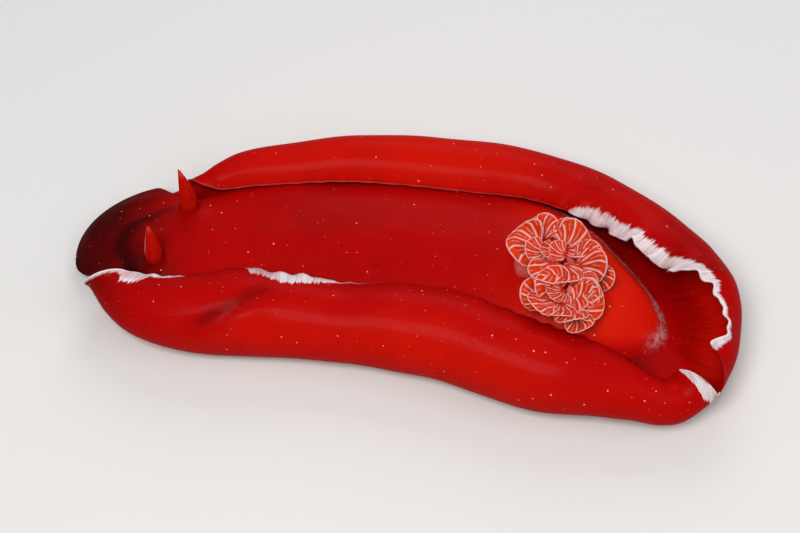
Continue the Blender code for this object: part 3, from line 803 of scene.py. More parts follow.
    def sheet(self, theta: Array, shares: Array) -> tuple[Array, Array, Array, Array]:
        """The margin at every angle and share of its width.

        Args:
            theta: Angles round the body in degrees, n of them.
            shares: Shares of the width from root to edge, k of them.

        Returns:
            Mid points and outer normals (n, k, 3), thickness (1, k, 1) and width (n, 1).
        """
        lead, droop, heel, roll, end, lip, ruffle = (self.station(theta, k)[:, None] for k in range(2, 9))
        end = end + self.settle * step(end, 215, 235)
        turn = np.where(end > droop, np.clip(self.heel_heading, droop, end), droop)
        heel_length = heel * np.radians(np.abs(turn - droop))
        roll_length = roll * np.radians(np.abs(end - turn))
        width = lead + heel_length + roll_length + lip
        fine = np.linspace(0.0, 1.0, self.steps + 1)[None, :]
        heading = np.zeros((len(theta), self.steps + 1))
        for shift in self.blur_shifts:
            s = fine * width + self.blur * shift
            first = np.clip((s - lead) / np.maximum(heel_length, 1e-6), 0, 1)
            second = np.clip((s - lead - heel_length) / np.maximum(roll_length, 1e-6), 0, 1)
            heading += (droop + (turn - droop) * first + (end - turn) * second) / len(self.blur_shifts)
        wave = np.sin(np.radians(self.ruffle_waves * theta))[:, None] * ruffle
        edge = np.clip((fine - self.ruffle_from) / (1 - self.ruffle_from), 0, 1) ** 1.5
        heading = np.radians(heading + self.ruffle_heading * wave * edge + self.frill(theta, fine, ruffle))
        part = width / (2 * self.steps)
        cosine, sine = np.cos(heading), np.sin(heading)
        none = np.zeros_like(width)
        along = np.concatenate([none, np.cumsum(cosine[:, 1:] + cosine[:, :-1], 1)], 1) * part
        rise = np.concatenate([none, np.cumsum(sine[:, 1:] + sine[:, :-1], 1)], 1) * part
        where = np.asarray(shares) * self.steps
        low = np.minimum(where.astype(int), self.steps - 1)
        rest = (where - low)[None, :]
        along, rise, heading = (v[:, low] * (1 - rest) + v[:, low + 1] * rest for v in (along, rise, heading))
        out = self.outward(theta)[:, None, :]
        plan = self.root(theta)[:, None, :] + along[..., None] * out
        mid = np.concatenate([plan, (self.station(theta, 1)[:, None] + rise)[..., None]], -1)
        normal = np.concatenate([np.sin(heading)[..., None] * out, -np.cos(heading)[..., None]], -1)
        span = self.root_thickness - self.edge_thickness
        thick = self.edge_thickness + span * (1 - np.asarray(shares)) ** self.thin_power
        return mid, normal, thick[None, :, None], width

    def frill(self, theta: Array, fine: Array, ruffle: Array) -> Array:
        """Small pleats along the free edge, finer than those of the solids.

        Args:
            theta: Angles round the body in degrees.
            fine: Shares of the width, as one row.
            ruffle: Strength of the wide ruffles, as one column.

        Returns:
            Extra heading in degrees.
        """
        wide = np.radians(theta)[:, None]
        wave = sum(size * np.sin(n * wide + far * np.sin(often * wide)) for n, far, often, size in self.pleats)
        edge = np.clip((fine - self.pleat_from) / (1 - self.pleat_from), 0, 1) ** 1.3
        calm = 1 - self.head_calm * step(-turn_gap(theta, 175.0), -45, -25)[:, None]
        return wave * edge * (self.pleat_heading[0] + self.pleat_heading[1] * ruffle) * calm

    def back(self, theta: Array, share: float, start: Array) -> Array:
        """Points of the back on one ring, from the shoulder to the middle line.

        Args:
            theta: Angles round the body in degrees.
            share: 0 at the shoulder to 1 on the middle line.
            start: Shoulder points, one for each angle.

        Returns:
            The points.
        """
        plan = start[:, :2] + (self.middle(theta) - start[:, :2]) * share
        top = self.line(plan[:, 0], self.crest)
        power = 2 + self.hump_power * np.exp(-((turn_gap(theta, 0.0) / self.hump_spread) ** 4))
        return np.column_stack([plan, start[:, 2] + (top - start[:, 2]) * (1 - (1 - share) ** power)])

    def under(self, theta: Array, share: float, height: float) -> Array:
        """Points of a ring under the body.

        Args:
            theta: Angles round the body in degrees.
            share: 0 at the root line to 1 on the middle line.
            height: Height in millimetres.

        Returns:
            The points.
        """
        root = self.root(theta)
        plan = root + (self.middle(theta) - root) * share
        return np.column_stack([plan, np.full(len(plan), height)])


@dataclass(frozen=True)
class Patch:
    """Soft light or shade on one face of the margin, round an angle and a distance from the root."""

    strength: float
    outer: bool
    angle: float
    spread: float
    across: float = 0.0
    width: float = 1e9

    def glow(self, angle: Array, across: Array, faces: tuple[Array, Array]) -> Array:
        """Brightness that the patch adds, where faces are the shares of the inner and of the outer face."""
        far = bell(turn_gap(angle, self.angle), 0, self.spread)
        return self.strength * far * bell(across, self.across, self.width) * faces[self.outer]


@dataclass
class Skin:
    """The one closed skin of back, margin, flanks and foot."""

    shape: BodyShape
    shift: Array
    finish: Material
    bosses: list[tuple[float, float, float, float]]
    rings: int = 604
    back_rows: int = 44
    sheet_rows: int = 66
    belly_rows: int = 34
    tail_density: float = 0.9
    soften: int = 12
    swells: int = 16
    swell_height: float = 0.5
    flank: tuple = (
        (0.05, 11.2), (0.10, 10.2), (0.17, 8.8), (0.24, 7.5), (0.29, 6.5), (0.315, 5.9), (0.31, 5.4),
    )
    sole: tuple = (
        (0.27, 4.7), (0.22, 3.5), (0.18, 2.2), (0.158, 1.2), (0.156, 0.7), (0.165, 0.2), (0.18, 0.0),
        (0.3, 0.0), (0.6, 0.0), (1.0, 0.0),
    )
    # Width of the white band on the margin in millimetres, by angle.
    band: tuple = (
        (0, 1.6), (6, 2), (12, 6), (20, 8.5), (30, 6), (48, 6.5), (52, 3), (54, 0.4), (140, 0.4), (152, 0),
        (196, 0), (200, 1.7), (206.5, 1.8), (208, 6.5), (213, 6.5), (214.5, 2.2), (221, 1.6), (226, 0.4),
        (240, 0.5), (241.5, 9), (247, 8), (253, 6.5), (262, 1), (275, 0.4), (322, 0.4), (344.5, 0.3),
        (346.5, 13), (348.8, 12), (349.6, 0.5), (352.2, 0.4), (353, 4), (356, 3),
    )
    # Crease on the outside of the left roll: distance from the root by angle.
    crease: tuple = (
        (222, 43), (230, 45.5), (236.5, 49.2), (240.4, 52.9), (244.4, 57.8), (248.3, 61.5), (254, 63.5),
    )
    # Distance from the root that stands for the whole margin, and those that mark its edge and the sole.
    span: float = 80.0
    edge_mark: float = 82.0
    sole_mark: float = 95.0
    # Distances that the back adds up to its middle line: to those from the edge, and to those from the root.
    back_edge: float = 40.0
    back_span: float = 45.0
    # Spacing of the rings on the back, and bulge of the edge, as a power and as a share of the thickness.
    back_power: float = 0.8
    tip_bulge: float = 0.45
    # Round of the section at the shoulder and at the edge, in rows on each side.
    rounding: tuple[int, int] = (9, 5)
    # Relief of the crease: height, distance above it and spread, of the ridge and of the groove.
    crease_relief: tuple = ((0.8, -2.0, 3.0), (-0.9, 3.5, 3.0))
    # Painted light and shade: highlights on the near left roll and along the far right roll, shade on the far
    # side of the tail and in the hollow beside the hump.
    patches: tuple[Patch, ...] = (
        Patch(0.35, True, 270, 70, 40, 18), Patch(0.35, True, 92, 50), Patch(-0.12, True, 18, 45),
        Patch(-0.24, False, 334, 16, 4, 10),
    )
    flank_glow: float = 0.22
    hump_glow: float = 1.0
    inner_glow: Pair = (0.07, 0.10)
    # Painted shade: in the trough along the root, in the hollow above the crease of the left roll, and on a
    # facet of the far roll near the tail.
    shoulder_shade: float = 0.12
    crease_shade: float = 0.55
    facet_shade: float = 0.22
    tail_glow: float = 0.35
    ring_radius: float = 0.110
    nodes: tuple[str, ...] = (
        "foot", "head", "body_front", "body_middle", "body_rear", "mantle_front", "mantle_left_front",
        "mantle_left_middle", "mantle_left_rear", "mantle_tail", "mantle_right_rear", "mantle_right_middle",
        "mantle_right_front",
    )

    def angles(self) -> Array:
        """Angles at even steps along the middle of the margin, closer at the tail and alike on both sides.

        Returns:
            The angles in degrees, starting at 0, with 180 among them.
        """
        dense = np.linspace(0, 360, 1441)
        points = self.shape.sheet(dense, np.array([0.45]))[0][:, 0]
        run = np.linalg.norm(np.diff(points, axis=0), axis=1)
        turn = turn_gap((dense[1:] + dense[:-1]) / 2, 0)
        run = (run + run[::-1]) * (1 + self.tail_density * step(-turn, -72, -58))
        length = np.concatenate([[0], np.cumsum(run)])
        return np.interp(np.linspace(0, length[-1], self.rings + 1)[:-1], length, dense)

    def build(self) -> Piece:
        """Builds and dresses the skin.

        Returns:
            The finished piece.
        """
        shape, theta = self.shape, self.angles()
        share = np.linspace(0, 1, self.sheet_rows)
        mid, normal, thick, width = shape.sheet(theta, share)
        inner = mid - normal * thick / 2
        tip = np.cross(normal[:, -1], self.ring_run(theta)) * shape.edge_thickness * self.tip_bulge
        tip += mid[:, -1]
        belly = np.linspace(0, 1, self.belly_rows)[::-1]
        mid, normal, thick, _ = shape.sheet(theta, belly)
        above, strength = self.fold(theta[:, None], belly[None, :] * self.span)
        relief = strength * sum(height * bell(above, *row) for height, *row in self.crease_relief)
        outer = mid + normal * (thick / 2 + relief[..., None])
        back = 1 - (np.arange(self.back_rows) / self.back_rows) ** self.back_power
        rings = [shape.back(theta, s, inner[:, 0]) for s in back]
        rings += [*inner.swapaxes(0, 1), tip, *outer.swapaxes(0, 1)]
        rings += [shape.under(theta, s, height) for s, height in self.flank + self.sole]
        points = self.smooth(np.array(rings), self.back_rows, self.rounding[0])
        points = self.smooth(points, self.back_rows + self.sheet_rows + self.belly_rows, self.rounding[1])
        flank, sole, wide = len(self.flank), len(self.sole), width.T
        far = np.full((flank + sole, len(theta)), FAR)
        edge = [wide + self.back_edge * back[:, None], wide * (1 - share[:, None]), 0 * wide]
        edge += [wide * (1 - belly[:, None]), far]
        across = [-self.back_span * back, share * self.span, [self.edge_mark], belly * self.span]
        across = np.concatenate([*across, [FAR] * flank, [self.sole_mark] * sole])
        side = np.repeat(
            [Face.INNER.value, Face.EDGE.value, Face.OUTER.value, Face.SOLE.value],
            [self.back_rows + self.sheet_rows, 1, self.belly_rows + flank, sole],
        )
        return self.assemble(self.swell(points, theta, across), theta, (side, np.concatenate(edge), across))

    def fold(self, angle: Array, across: Array) -> tuple[Array, Array]:
        """Place of points against the crease of the left roll.

        Args:
            angle: Angles in degrees.
            across: Distance from the root.

        Returns:
            Distance above the crease, and the strength of the crease there.
        """
        table = np.array(self.crease)
        above = across - np.interp(angle, table[:, 0], table[:, 1])
        return above, step(angle, 225, 233) * step(-angle, -254, -240)

    def ring_run(self, theta: Array) -> Array:
        """Unit direction round the body in plan."""
        out = self.shape.outward(theta)
        return np.column_stack([-out[:, 1], out[:, 0], np.zeros(len(theta))])

    def smooth(self, points: Array, row: int, reach: int) -> Array:
        """Rounds the section near one row.

        Args:
            points: Points, rows by rings.
            row: Row in the middle of the rounding.
            reach: Rows on each side that it takes in.

        Returns:
            The smoothed points.
        """
        points = points.copy()
        span = np.arange(row - reach, row + reach)
        weight = (0.5 * np.cos((span - row) / reach * math.pi / 2) ** 0.5)[:, None, None]
        for _ in range(self.soften):
            average = (points[span - 1] + points[span + 1]) / 2
            points[span] = points[span] * (1 - weight) + average * weight
        return points

    def swell(self, points: Array, theta: Array, across: Array) -> Array:
        """Adds soft swells and raised collars.

        Args:
            points: Points, rows by rings.
            theta: Angles of the rings.
            across: Distance from the root of each row.

        Returns:
            The points with their relief.
        """
        normal = np.cross(np.gradient(points, axis=0), np.roll(points, -1, 1) - np.roll(points, 1, 1))
        size = np.linalg.norm(normal, axis=-1, keepdims=True)
        normal = normal / np.maximum(size, 1e-9)
        normal = normal * (1.0 if normal[self.back_rows // 2, :, 2].mean() > 0 else -1.0)
        rng = np.random.default_rng(8)
        wide = np.radians(theta)[None, :]
        lift = np.zeros(points.shape[:2])
        for _ in range(self.swells):
            k, m = int(rng.integers(2, 26)), float(rng.uniform(-0.16, 0.16))
            lift += 0.9 / (2 + k * 0.35) * np.sin(k * wide + m * across[:, None] + rng.uniform(0, 6.28))
        fade = (across < FAR)[:, None] * np.clip(size[..., 0] * 4, 0, 1)
        fade = fade * (0.35 + 0.65 * step(across, -30, 5) - 0.6 * step(across, 60, 80))[:, None]
        points = points + normal * (lift * self.swell_height * fade)[..., None]
        top = (across < 2)[:, None]
        for x, y, radius, height in self.bosses:
            far = np.hypot(points[..., 0] - x, points[..., 1] - y)
            points[..., 2] += np.where(top, height * bell(far, 0, radius), 0)
        return points

    def assemble(self, points: Array, theta: Array, notes: tuple[Array, Array, Array]) -> Piece:
        """Joins the rings into a closed mesh and dresses it.

        Args:
            points: Points, rows by rings.
            theta: Angles of the rings.
            notes: Face of each row, distance of each point from the edge, and of each row from the root.

        Returns:
            The finished piece.
        """
        ring = np.arange(len(theta))
        index = np.arange(points[..., 0].size).reshape(points.shape[:2])
        index[[0, -1]] = index[[0, -1]][:, np.minimum(ring, -ring % len(theta))]
        kept, place = np.unique(index, return_inverse=True)
        place = place.reshape(index.shape)
        after = np.roll(place, -1, 1)
        quads = np.stack([place[:-1], after[:-1], after[1:], place[1:]], -1).reshape(-1, 4)
        verts = points.reshape(-1, 3)[kept]
        faces = [tuple(dict.fromkeys(q)) for q in quads.tolist()]
        obj = make_piece("skin", verts, faces, self.finish, self.shift)
        self.dress(obj, np.unravel_index(kept, index.shape), theta, notes, verts)
        return obj

    def frost(self, angle: Array, across: Array) -> Array:
        """Strength of the pale line along the rim of the hump, thin on the right and broad at the tail.

        Args:
            angle: Angles in degrees.
            across: Distance from the root, below 0 on the back.

        Returns:
            The strength.
        """
        broad = step(-turn_gap(angle, 2.0), -24, -9)
        line = bell(across, -1.6, 1.3) * step(-turn_gap(angle, 26.0), -36, -24)
        return np.maximum(1.0 * line, broad * bell(across, -2.6, 2.2))

    def dress(self, obj: Piece, keys: tuple[Array, Array], theta: Array, notes: tuple, verts: Array) -> None:
        """Stores the attributes that the skin's finish reads.

        Args:
            obj: The skin.
            keys: Row and ring of each point.
            theta: Angles of the rings.
            notes: As for assemble.
            verts: Points in millimetres.
        """
        row, ring = keys
        side, edge, across = notes[0][row], notes[1][keys], notes[2][row]
        angle, turn = theta[ring], 2 * math.pi * ring / len(theta)
        band = ring_table(angle, self.band)
        above, strength = self.fold(angle, across)
        inner, outer = 1.0 * (side < 0.4), np.clip(side, 0, 1) * (side < 1.5)
        near = bell(turn_gap(angle, 270), 0, 70) * outer
        rear = step(-turn_gap(angle, 2), -40, -20) * inner
        hump = bell(verts[:, 0], 76, 34) * inner * step(-across, -2, 8) * step(-turn_gap(angle, 0), -90, -60)
        # Painted shade in the trough where the back meets the margin.
        shoulder = bell(across, 3, 7) * inner * (1 - hump) * step(turn_gap(angle, 18), 20, 60)
        # Painted shade on a facet of the far roll near the tail.
        facet = step(angle, 8, 16) * step(34.3 + (75.0 - across) * 0.23 - angle, 0.0, 1.6) * outer
        # Painted light and shade from the patches: highlights on both rolls, shade at the far tail and in the
        # hollow beside the hump.
        glow = sum(patch.glow(angle, across, (inner, outer)) for patch in self.patches)
        glow += self.flank_glow * outer * step(across, 10, 45) + self.hump_glow * hump
        glow += inner * (self.inner_glow[0] + self.inner_glow[1] * step(across, 1, 25))
        glow += self.tail_glow * rear * step(across, 8, 30) - self.shoulder_shade * shoulder
        # Painted shade in the hollow above the crease of the left roll and on the far roll's facet.
        glow -= self.crease_shade * strength * bell(above, 5.0, 5.5) * outer + self.facet_shade * facet
        # Painted shade at the front of the head, weaker on the lit near roll.
        glow -= HEAD_SHADE * head_shade(verts[:, 0]) * (1 - 0.6 * near)
        flat = np.column_stack([np.cos(turn), np.sin(turn)]) * self.ring_radius
        store(
            obj,
            ring=np.column_stack([flat, across * MM]),
            edge_mm=edge,
            band_mm=band,
            glow=glow,
            sole=step(side, 1.2, 2.0) * 0.8,
            lines=rear * step(across, 4, 16),
            rim=0.9 * step(band, 0.8, 1.5) + 0.08 * bell(turn_gap(angle, 105), 0, 42),
            frost=self.frost(angle, across) * inner,
        )


@dataclass(frozen=True)
class Lobe:
    """One gill lobe: its plume, apex and radius in millimetres, the way it opens and its lean in degrees."""

    plume: int
    apex: Triple
    turn: float
    size: float
    lean: float = 20.0
    kind: LobeKind = LobeKind.NARROW

    def rotation(self) -> Triple:
        """Turns about X, Y and Z in degrees that lean the lobe's inner face to the left side."""
        turn = math.radians(self.turn)
        return self.lean * math.cos(turn), -self.lean * math.sin(turn), self.turn


@dataclass
class GillRing:
    """Six plumes of ribbed shell-like lobes in a ring round the vent tube."""

    shift: Array
    finish: Material
    count: int = 6
    turn: float = 25.0
    ring: float = 9.0
    reach: tuple = (2.5, 1.0, 0.0, 0.0, 4.0, 3.5)
    trunk_foot: float = 18.6
    trunk_bend: float = 28.5
    # Foot and top radius of each plume's trunk, and how far its bend bulges along X and Y.
    trunks: tuple = (
        (2.9, 2.1, 0, 0), (2.9, 2.1, 0, 0), (3.9, 6.0, -9, -9), (2.9, 2.4, 0, 0), (2.9, 2.1, 0, 0),
        (2.9, 2.1, 0, 0),
    )
    branch_radii: Pair = (2.0, 1.0)
    hub_drop: float = 3.0
    limb_sides: int = 24
    limb_rings: int = 16
    columns: int = 84
    rows: int = 22
    thickness: float = 0.045
    jitter: float = 0.3
    turn_jitter: float = 0.10
    unevenness: float = 0.06
    # Every lobe of size 1: shortening of its sides and its power, drop of the lip, depth of the pleats.
    petal: Pair = (0.42, 2.6)
    lip_drop: float = 0.22
    pleat_depth: float = 0.03
    # Each row: half spread in degrees, ribs, cup, ruffle, ruffle waves, swirl in degrees.
    kinds: tuple = ((88, 13, 0.42, 0.22, 1.6, 20), (66, 11, 0.50, 0.18, 1.2, -18))
    lobes: tuple[Lobe, ...] = (
        Lobe(0, (68.8, -4.2, 32.6), 22, 14.0, 22.0),
        Lobe(0, (70.3, -1.6, 31.9), 66, 11.6),
        Lobe(0, (75.9, -4.7, 29.9), 8, 10.0, 30.0),
        Lobe(0, (64.3, -4.2, 34.8), 300, 13.0, 6.0),
        Lobe(0, (65.1, 0.8, 34.4), 186, 8.6, 16.0),
        Lobe(1, (60.2, 6.2, 32.6), 70, 12.4, 18.0),
        Lobe(1, (62.5, 3.6, 32.6), 24, 14.4, 14.0, LobeKind.WIDE),
        Lobe(1, (61.1, 3.8, 34.0), 236, 8.8, 12.0),
        Lobe(2, (53.5, 3.0, 32.6), 164, 15.6, 10.0, LobeKind.WIDE),
        Lobe(2, (54.1, 7.0, 32.0), 98, 11.8, 16.0),
        Lobe(3, (56.7, 1.8, 33.8), 206, 10.0, 26.0),
        Lobe(3, (59.6, -3.6, 35.0), 268, 14.6, 6.0),
        Lobe(4, (60.0, -18.2, 31.6), 196, 12.4, 24.0),
        Lobe(4, (62.0, -20.0, 32.2), 242, 13.0, 6.0),
        Lobe(4, (64.5, -16.0, 32.8), 140, 12.0, 26.0, LobeKind.WIDE),
        Lobe(4, (65.4, -21.2, 31.8), 284, 11.8, 2.0),
        Lobe(4, (65.6, -15.8, 33.0), 226, 8.6, 10.0),
        Lobe(5, (68.1, -10.0, 32.8), 352, 13.0, 22.0),
        Lobe(5, (66.9, -14.2, 32.4), 330, 12.0, 30.0),
        Lobe(5, (70.1, -21.2, 31.0), 8, 14.0, 18.0, LobeKind.WIDE),
        Lobe(5, (71.1, -18.2, 31.6), 48, 11.0, 28.0),
        Lobe(5, (68.9, -23.0, 30.8), 300, 12.4, -6.0),
        Lobe(5, (71.1, -25.2, 30.0), 316, 11.0, 4.0),
    )

    def lobe_mesh(self, kind: int) -> Piece:
        """One closed ribbed lobe of size 1, fanned along X with its inner face up.

        Args:
            kind: Row of the kinds.

        Returns:
            The object, which isn't linked to the scene.
        """
        spread, ribs, cup, ruffle, waves, swirl = self.kinds[kind]
        turn, reach = np.meshgrid(np.linspace(-1, 1, self.columns + 1), np.linspace(0.06, 1.0, self.rows))
        rib = turn * ribs / 2 + 40.5
        angle = np.radians(spread) * turn + np.radians(swirl) * reach**1.5
        pleat = 1 - 2 * np.abs(rib % 1.0 - 0.5)
        lift = cup * reach**2 + ruffle * reach**2 * np.sin(waves * math.pi * turn + 1.3 * kind)
        lift = lift - self.lip_drop * step(reach, 0.70, 1.0)
        lift = lift + self.pleat_depth * pleat**2 * step(reach, 0.05, 0.5)
        flat = reach * (1 - self.petal[0] * np.abs(turn) ** self.petal[1]) * (1 - 0.12 * reach**2)
        points = np.stack([flat * np.cos(angle), flat * np.sin(angle), lift], -1)
        normal = unit(np.cross(np.gradient(points, axis=0), np.gradient(points, axis=1)))
        half = normal * (self.thickness * (1.2 - 0.5 * reach))[..., None] / 2
        columns, layer = self.columns + 1, turn.size
        faces = grid_faces(self.rows, columns)
        faces += [tuple(layer + i for i in f[::-1]) for f in faces]
        border = list(range(columns)) + [r * columns + self.columns for r in range(1, self.rows)]
        border += [(self.rows - 1) * columns + k for k in range(self.columns - 1, -1, -1)]
        border += [r * columns for r in range(self.rows - 2, 0, -1)]
        faces += [(a, b, layer + b, layer + a) for a, b in zip(border, border[1:] + border[:1])]
        verts = np.stack([points + half, points - half]).reshape(-1, 3)
        obj = make_piece(f"lobe_{kind}", verts / MM, faces, self.finish, 0.0)
        bpy.context.scene.collection.objects.unlink(obj)
        rim = np.maximum(step(reach, 0.95, 0.975), step(np.abs(turn), 0.955, 0.98) * step(reach, 0.45, 0.8))
        store(obj, outer=np.repeat([0.0, 1.0], layer))
        for name, value in (("rib", rib), ("reach", reach), ("rim", rim)):
            store(obj, **{name: np.tile(value.ravel(), 2)})
        return obj

    def scatter_tree(self) -> Group:
        """Node tree that sets lobes on points by their stored kind, turn and size.

        Returns:
            The node group.
        """
        inputs = {"Geometry": "Geometry", "Wide": "Object", "Narrow": "Object", "Size": "Float",
                  "Unevenness": "Float", "Seed": "Int", "Finish": "Material"}
        tree, source = geometry_tree("lobe_scatter", inputs)
        join = tree.node("GeometryNodeGeometryToInstance")
        for name in ("Narrow", "Wide"):
            info = tree.node("GeometryNodeObjectInfo", None, {"Object": source.outputs[name]})
            tree.tree.links.new(info.outputs["Geometry"], join.inputs[0])
        kind, turn, size = (
            tree.node("GeometryNodeInputNamedAttribute", {"data_type": data}, {"Name": name}).outputs[0]
            for name, data in (("kind", "INT"), ("turn", "FLOAT_VECTOR"), ("size", "FLOAT"))
        )
        chance = tree.node("FunctionNodeRandomValue", {"data_type": "FLOAT"}, {"Seed": source.outputs["Seed"]})
        uneven = (Value(tree, chance.outputs[1]) - 0.5) * Value(tree, source.outputs["Unevenness"]) + 1.0
        scale = Value(tree, size) * Value(tree, source.outputs["Size"]) * uneven
        settings = {"Points": source.outputs["Geometry"], "Instance": join.outputs[0], "Pick Instance": True,
                    "Instance Index": kind, "Rotation": turn, "Scale": tree.vector(scale, scale, scale)}
        made = tree.node("GeometryNodeInstanceOnPoints", None, settings)
        return close_tree(tree, made.outputs[0], source.outputs["Finish"])

    def foot(self, number: int) -> Array:
        """Point in the back that the trunk of a plume rises from."""
        turn, far = math.radians(self.turn + 360.0 * number / self.count), self.ring + self.reach[number]
        return np.array([VENT[0] + far * math.cos(turn), VENT[1] + far * math.sin(turn), self.trunk_foot])

    def limb(self, ends: tuple[Array, Array, Array], radii: Pair) -> tuple[Array, Faces]:
        """Closed tapering tube along a bent path.

        Args:
            ends: Start, bend and end in millimetres.
            radii: Radius at the start and at the end.

        Returns:
            Points and faces.
        """
        share = np.linspace(0, 1, self.limb_rings)[:, None]
        start, bend, end = ends
        line = (1 - share) ** 2 * start + 2 * share * (1 - share) * bend + share**2 * end
        run = np.gradient(line, axis=0)
        side = unit(np.cross(run, (0.3, 1.0, 0.2)))
        other = unit(np.cross(run, side))
        turn = round_angles(self.limb_sides)[None, :, None]
        wide = np.linspace(*radii, self.limb_rings)[:, None, None] * (1 + 0.05 * np.cos(5 * turn))
        wide = wide * np.sqrt(1 - 0.96 * np.clip((share[:, :, None] - 0.7) / 0.3, 0, 1) ** 2)
        rings = line[:, None] + wide * (np.cos(turn) * side[:, None] + np.sin(turn) * other[:, None])
        return rings.reshape(-1, 3), tube_faces(self.limb_rings, self.limb_sides)

    def plume(self, number: int, tree: Group, kinds: list[Piece]) -> Piece:
        """Builds one plume.

        Args:
            number: Number of the plume, from 0.
            tree: The scatter tree.
            kinds: The lobe objects.

        Returns:
            The finished piece.
        """
        rng = np.random.default_rng(40 + number)
        lobes = [o for o in self.lobes if o.plume == number]
        points = np.array([o.apex for o in lobes]) + rng.uniform(-self.jitter, self.jitter, (len(lobes), 3))
        mesh = bpy.data.meshes.new("lobe_points")
        mesh.from_pydata((points * MM).tolist(), [], [])
        holder = bpy.data.objects.new("lobe_points", mesh)
        turns = np.radians([o.rotation() for o in lobes])
        turns += rng.uniform(-self.turn_jitter, self.turn_jitter, points.shape)
        store(holder, turn=turns, size=[o.size for o in lobes])
        mesh.attributes.new("kind", "INT", "POINT").data.foreach_set("value", [o.kind.value for o in lobes])
        bpy.data.objects.remove(holder)
        sizes = {"Wide": kinds[0], "Narrow": kinds[1], "Size": MM, "Unevenness": self.unevenness,
                 "Seed": number, "Finish": self.finish}
        made = run_geometry(tree, sizes, mesh)
        verts, faces = mesh_parts(made)
        foot, hub = self.foot(number), points.mean(0) - (0, 0, self.hub_drop)
        low, top, aside, ahead = self.trunks[number]
        bend = np.array([foot[0] + aside, foot[1] + ahead, self.trunk_bend])
        limbs = [self.limb((foot, bend, hub), (low, top))]
        limbs += [self.limb((hub, (hub + p) / 2 - (0, 0, 0.5), p), self.branch_radii) for p in points]
        fleshy = len(verts)
        for part, part_faces in limbs:
            faces += [tuple(i + len(verts) for i in f) for f in part_faces]
            verts = np.concatenate([verts, part])
        obj = make_piece(f"gill_plume_{number + 1}", verts, faces, self.finish, self.shift)
        for name, value in BARE_STALK.items():
            values = np.full(len(verts), value, np.float32)
            old = np.zeros(fleshy, np.float32)
            made.attributes[name].data.foreach_get("value", old)
            values[:fleshy] = old
            store(obj, **{name: values})
        return obj

    def build(self) -> list[Piece]:
        """Builds every plume.

        Returns:
            The plumes in ring order.
        """
        kinds = [self.lobe_mesh(k) for k in range(len(self.kinds))]
        tree = self.scatter_tree()
        made = [self.plume(n, tree, kinds) for n in range(self.count)]
        for kind in kinds:
            bpy.data.objects.remove(kind)
        return made


@dataclass
class VentTube:
    """The short tube in the middle of the gills."""

    shift: Array
    finish: Material
    sides: int = 40
    rings: int = 36
    fold: tuple = (8, 0.07, 0.0, 0.0, 1.0)
    profile: tuple = (
        (0.02, 24.0), (3.4, 24.6), (2.7, 25.6), (2.4, 27.5), (2.4, 29.4), (2.1, 30.3), (1.6, 30.5),
        (1.1, 30.0), (0.8, 28.6), (0.02, 28.2),
    )

    def build(self) -> Piece:
        """Builds the tube.

        Returns:
            The finished piece.
        """
        points = lathe(VENT, self.profile, self.rings, self.sides, self.fold)
        obj = make_piece("vent_tube", points, tube_faces(self.rings, self.sides), self.finish, self.shift)
        share = np.repeat(np.linspace(0, 1, self.rings), self.sides)
        store(obj, **{**BARE_STALK, "outer": share * 0.6, "rim": bell(share, 0.66, 0.08) * 0.8})
        return obj


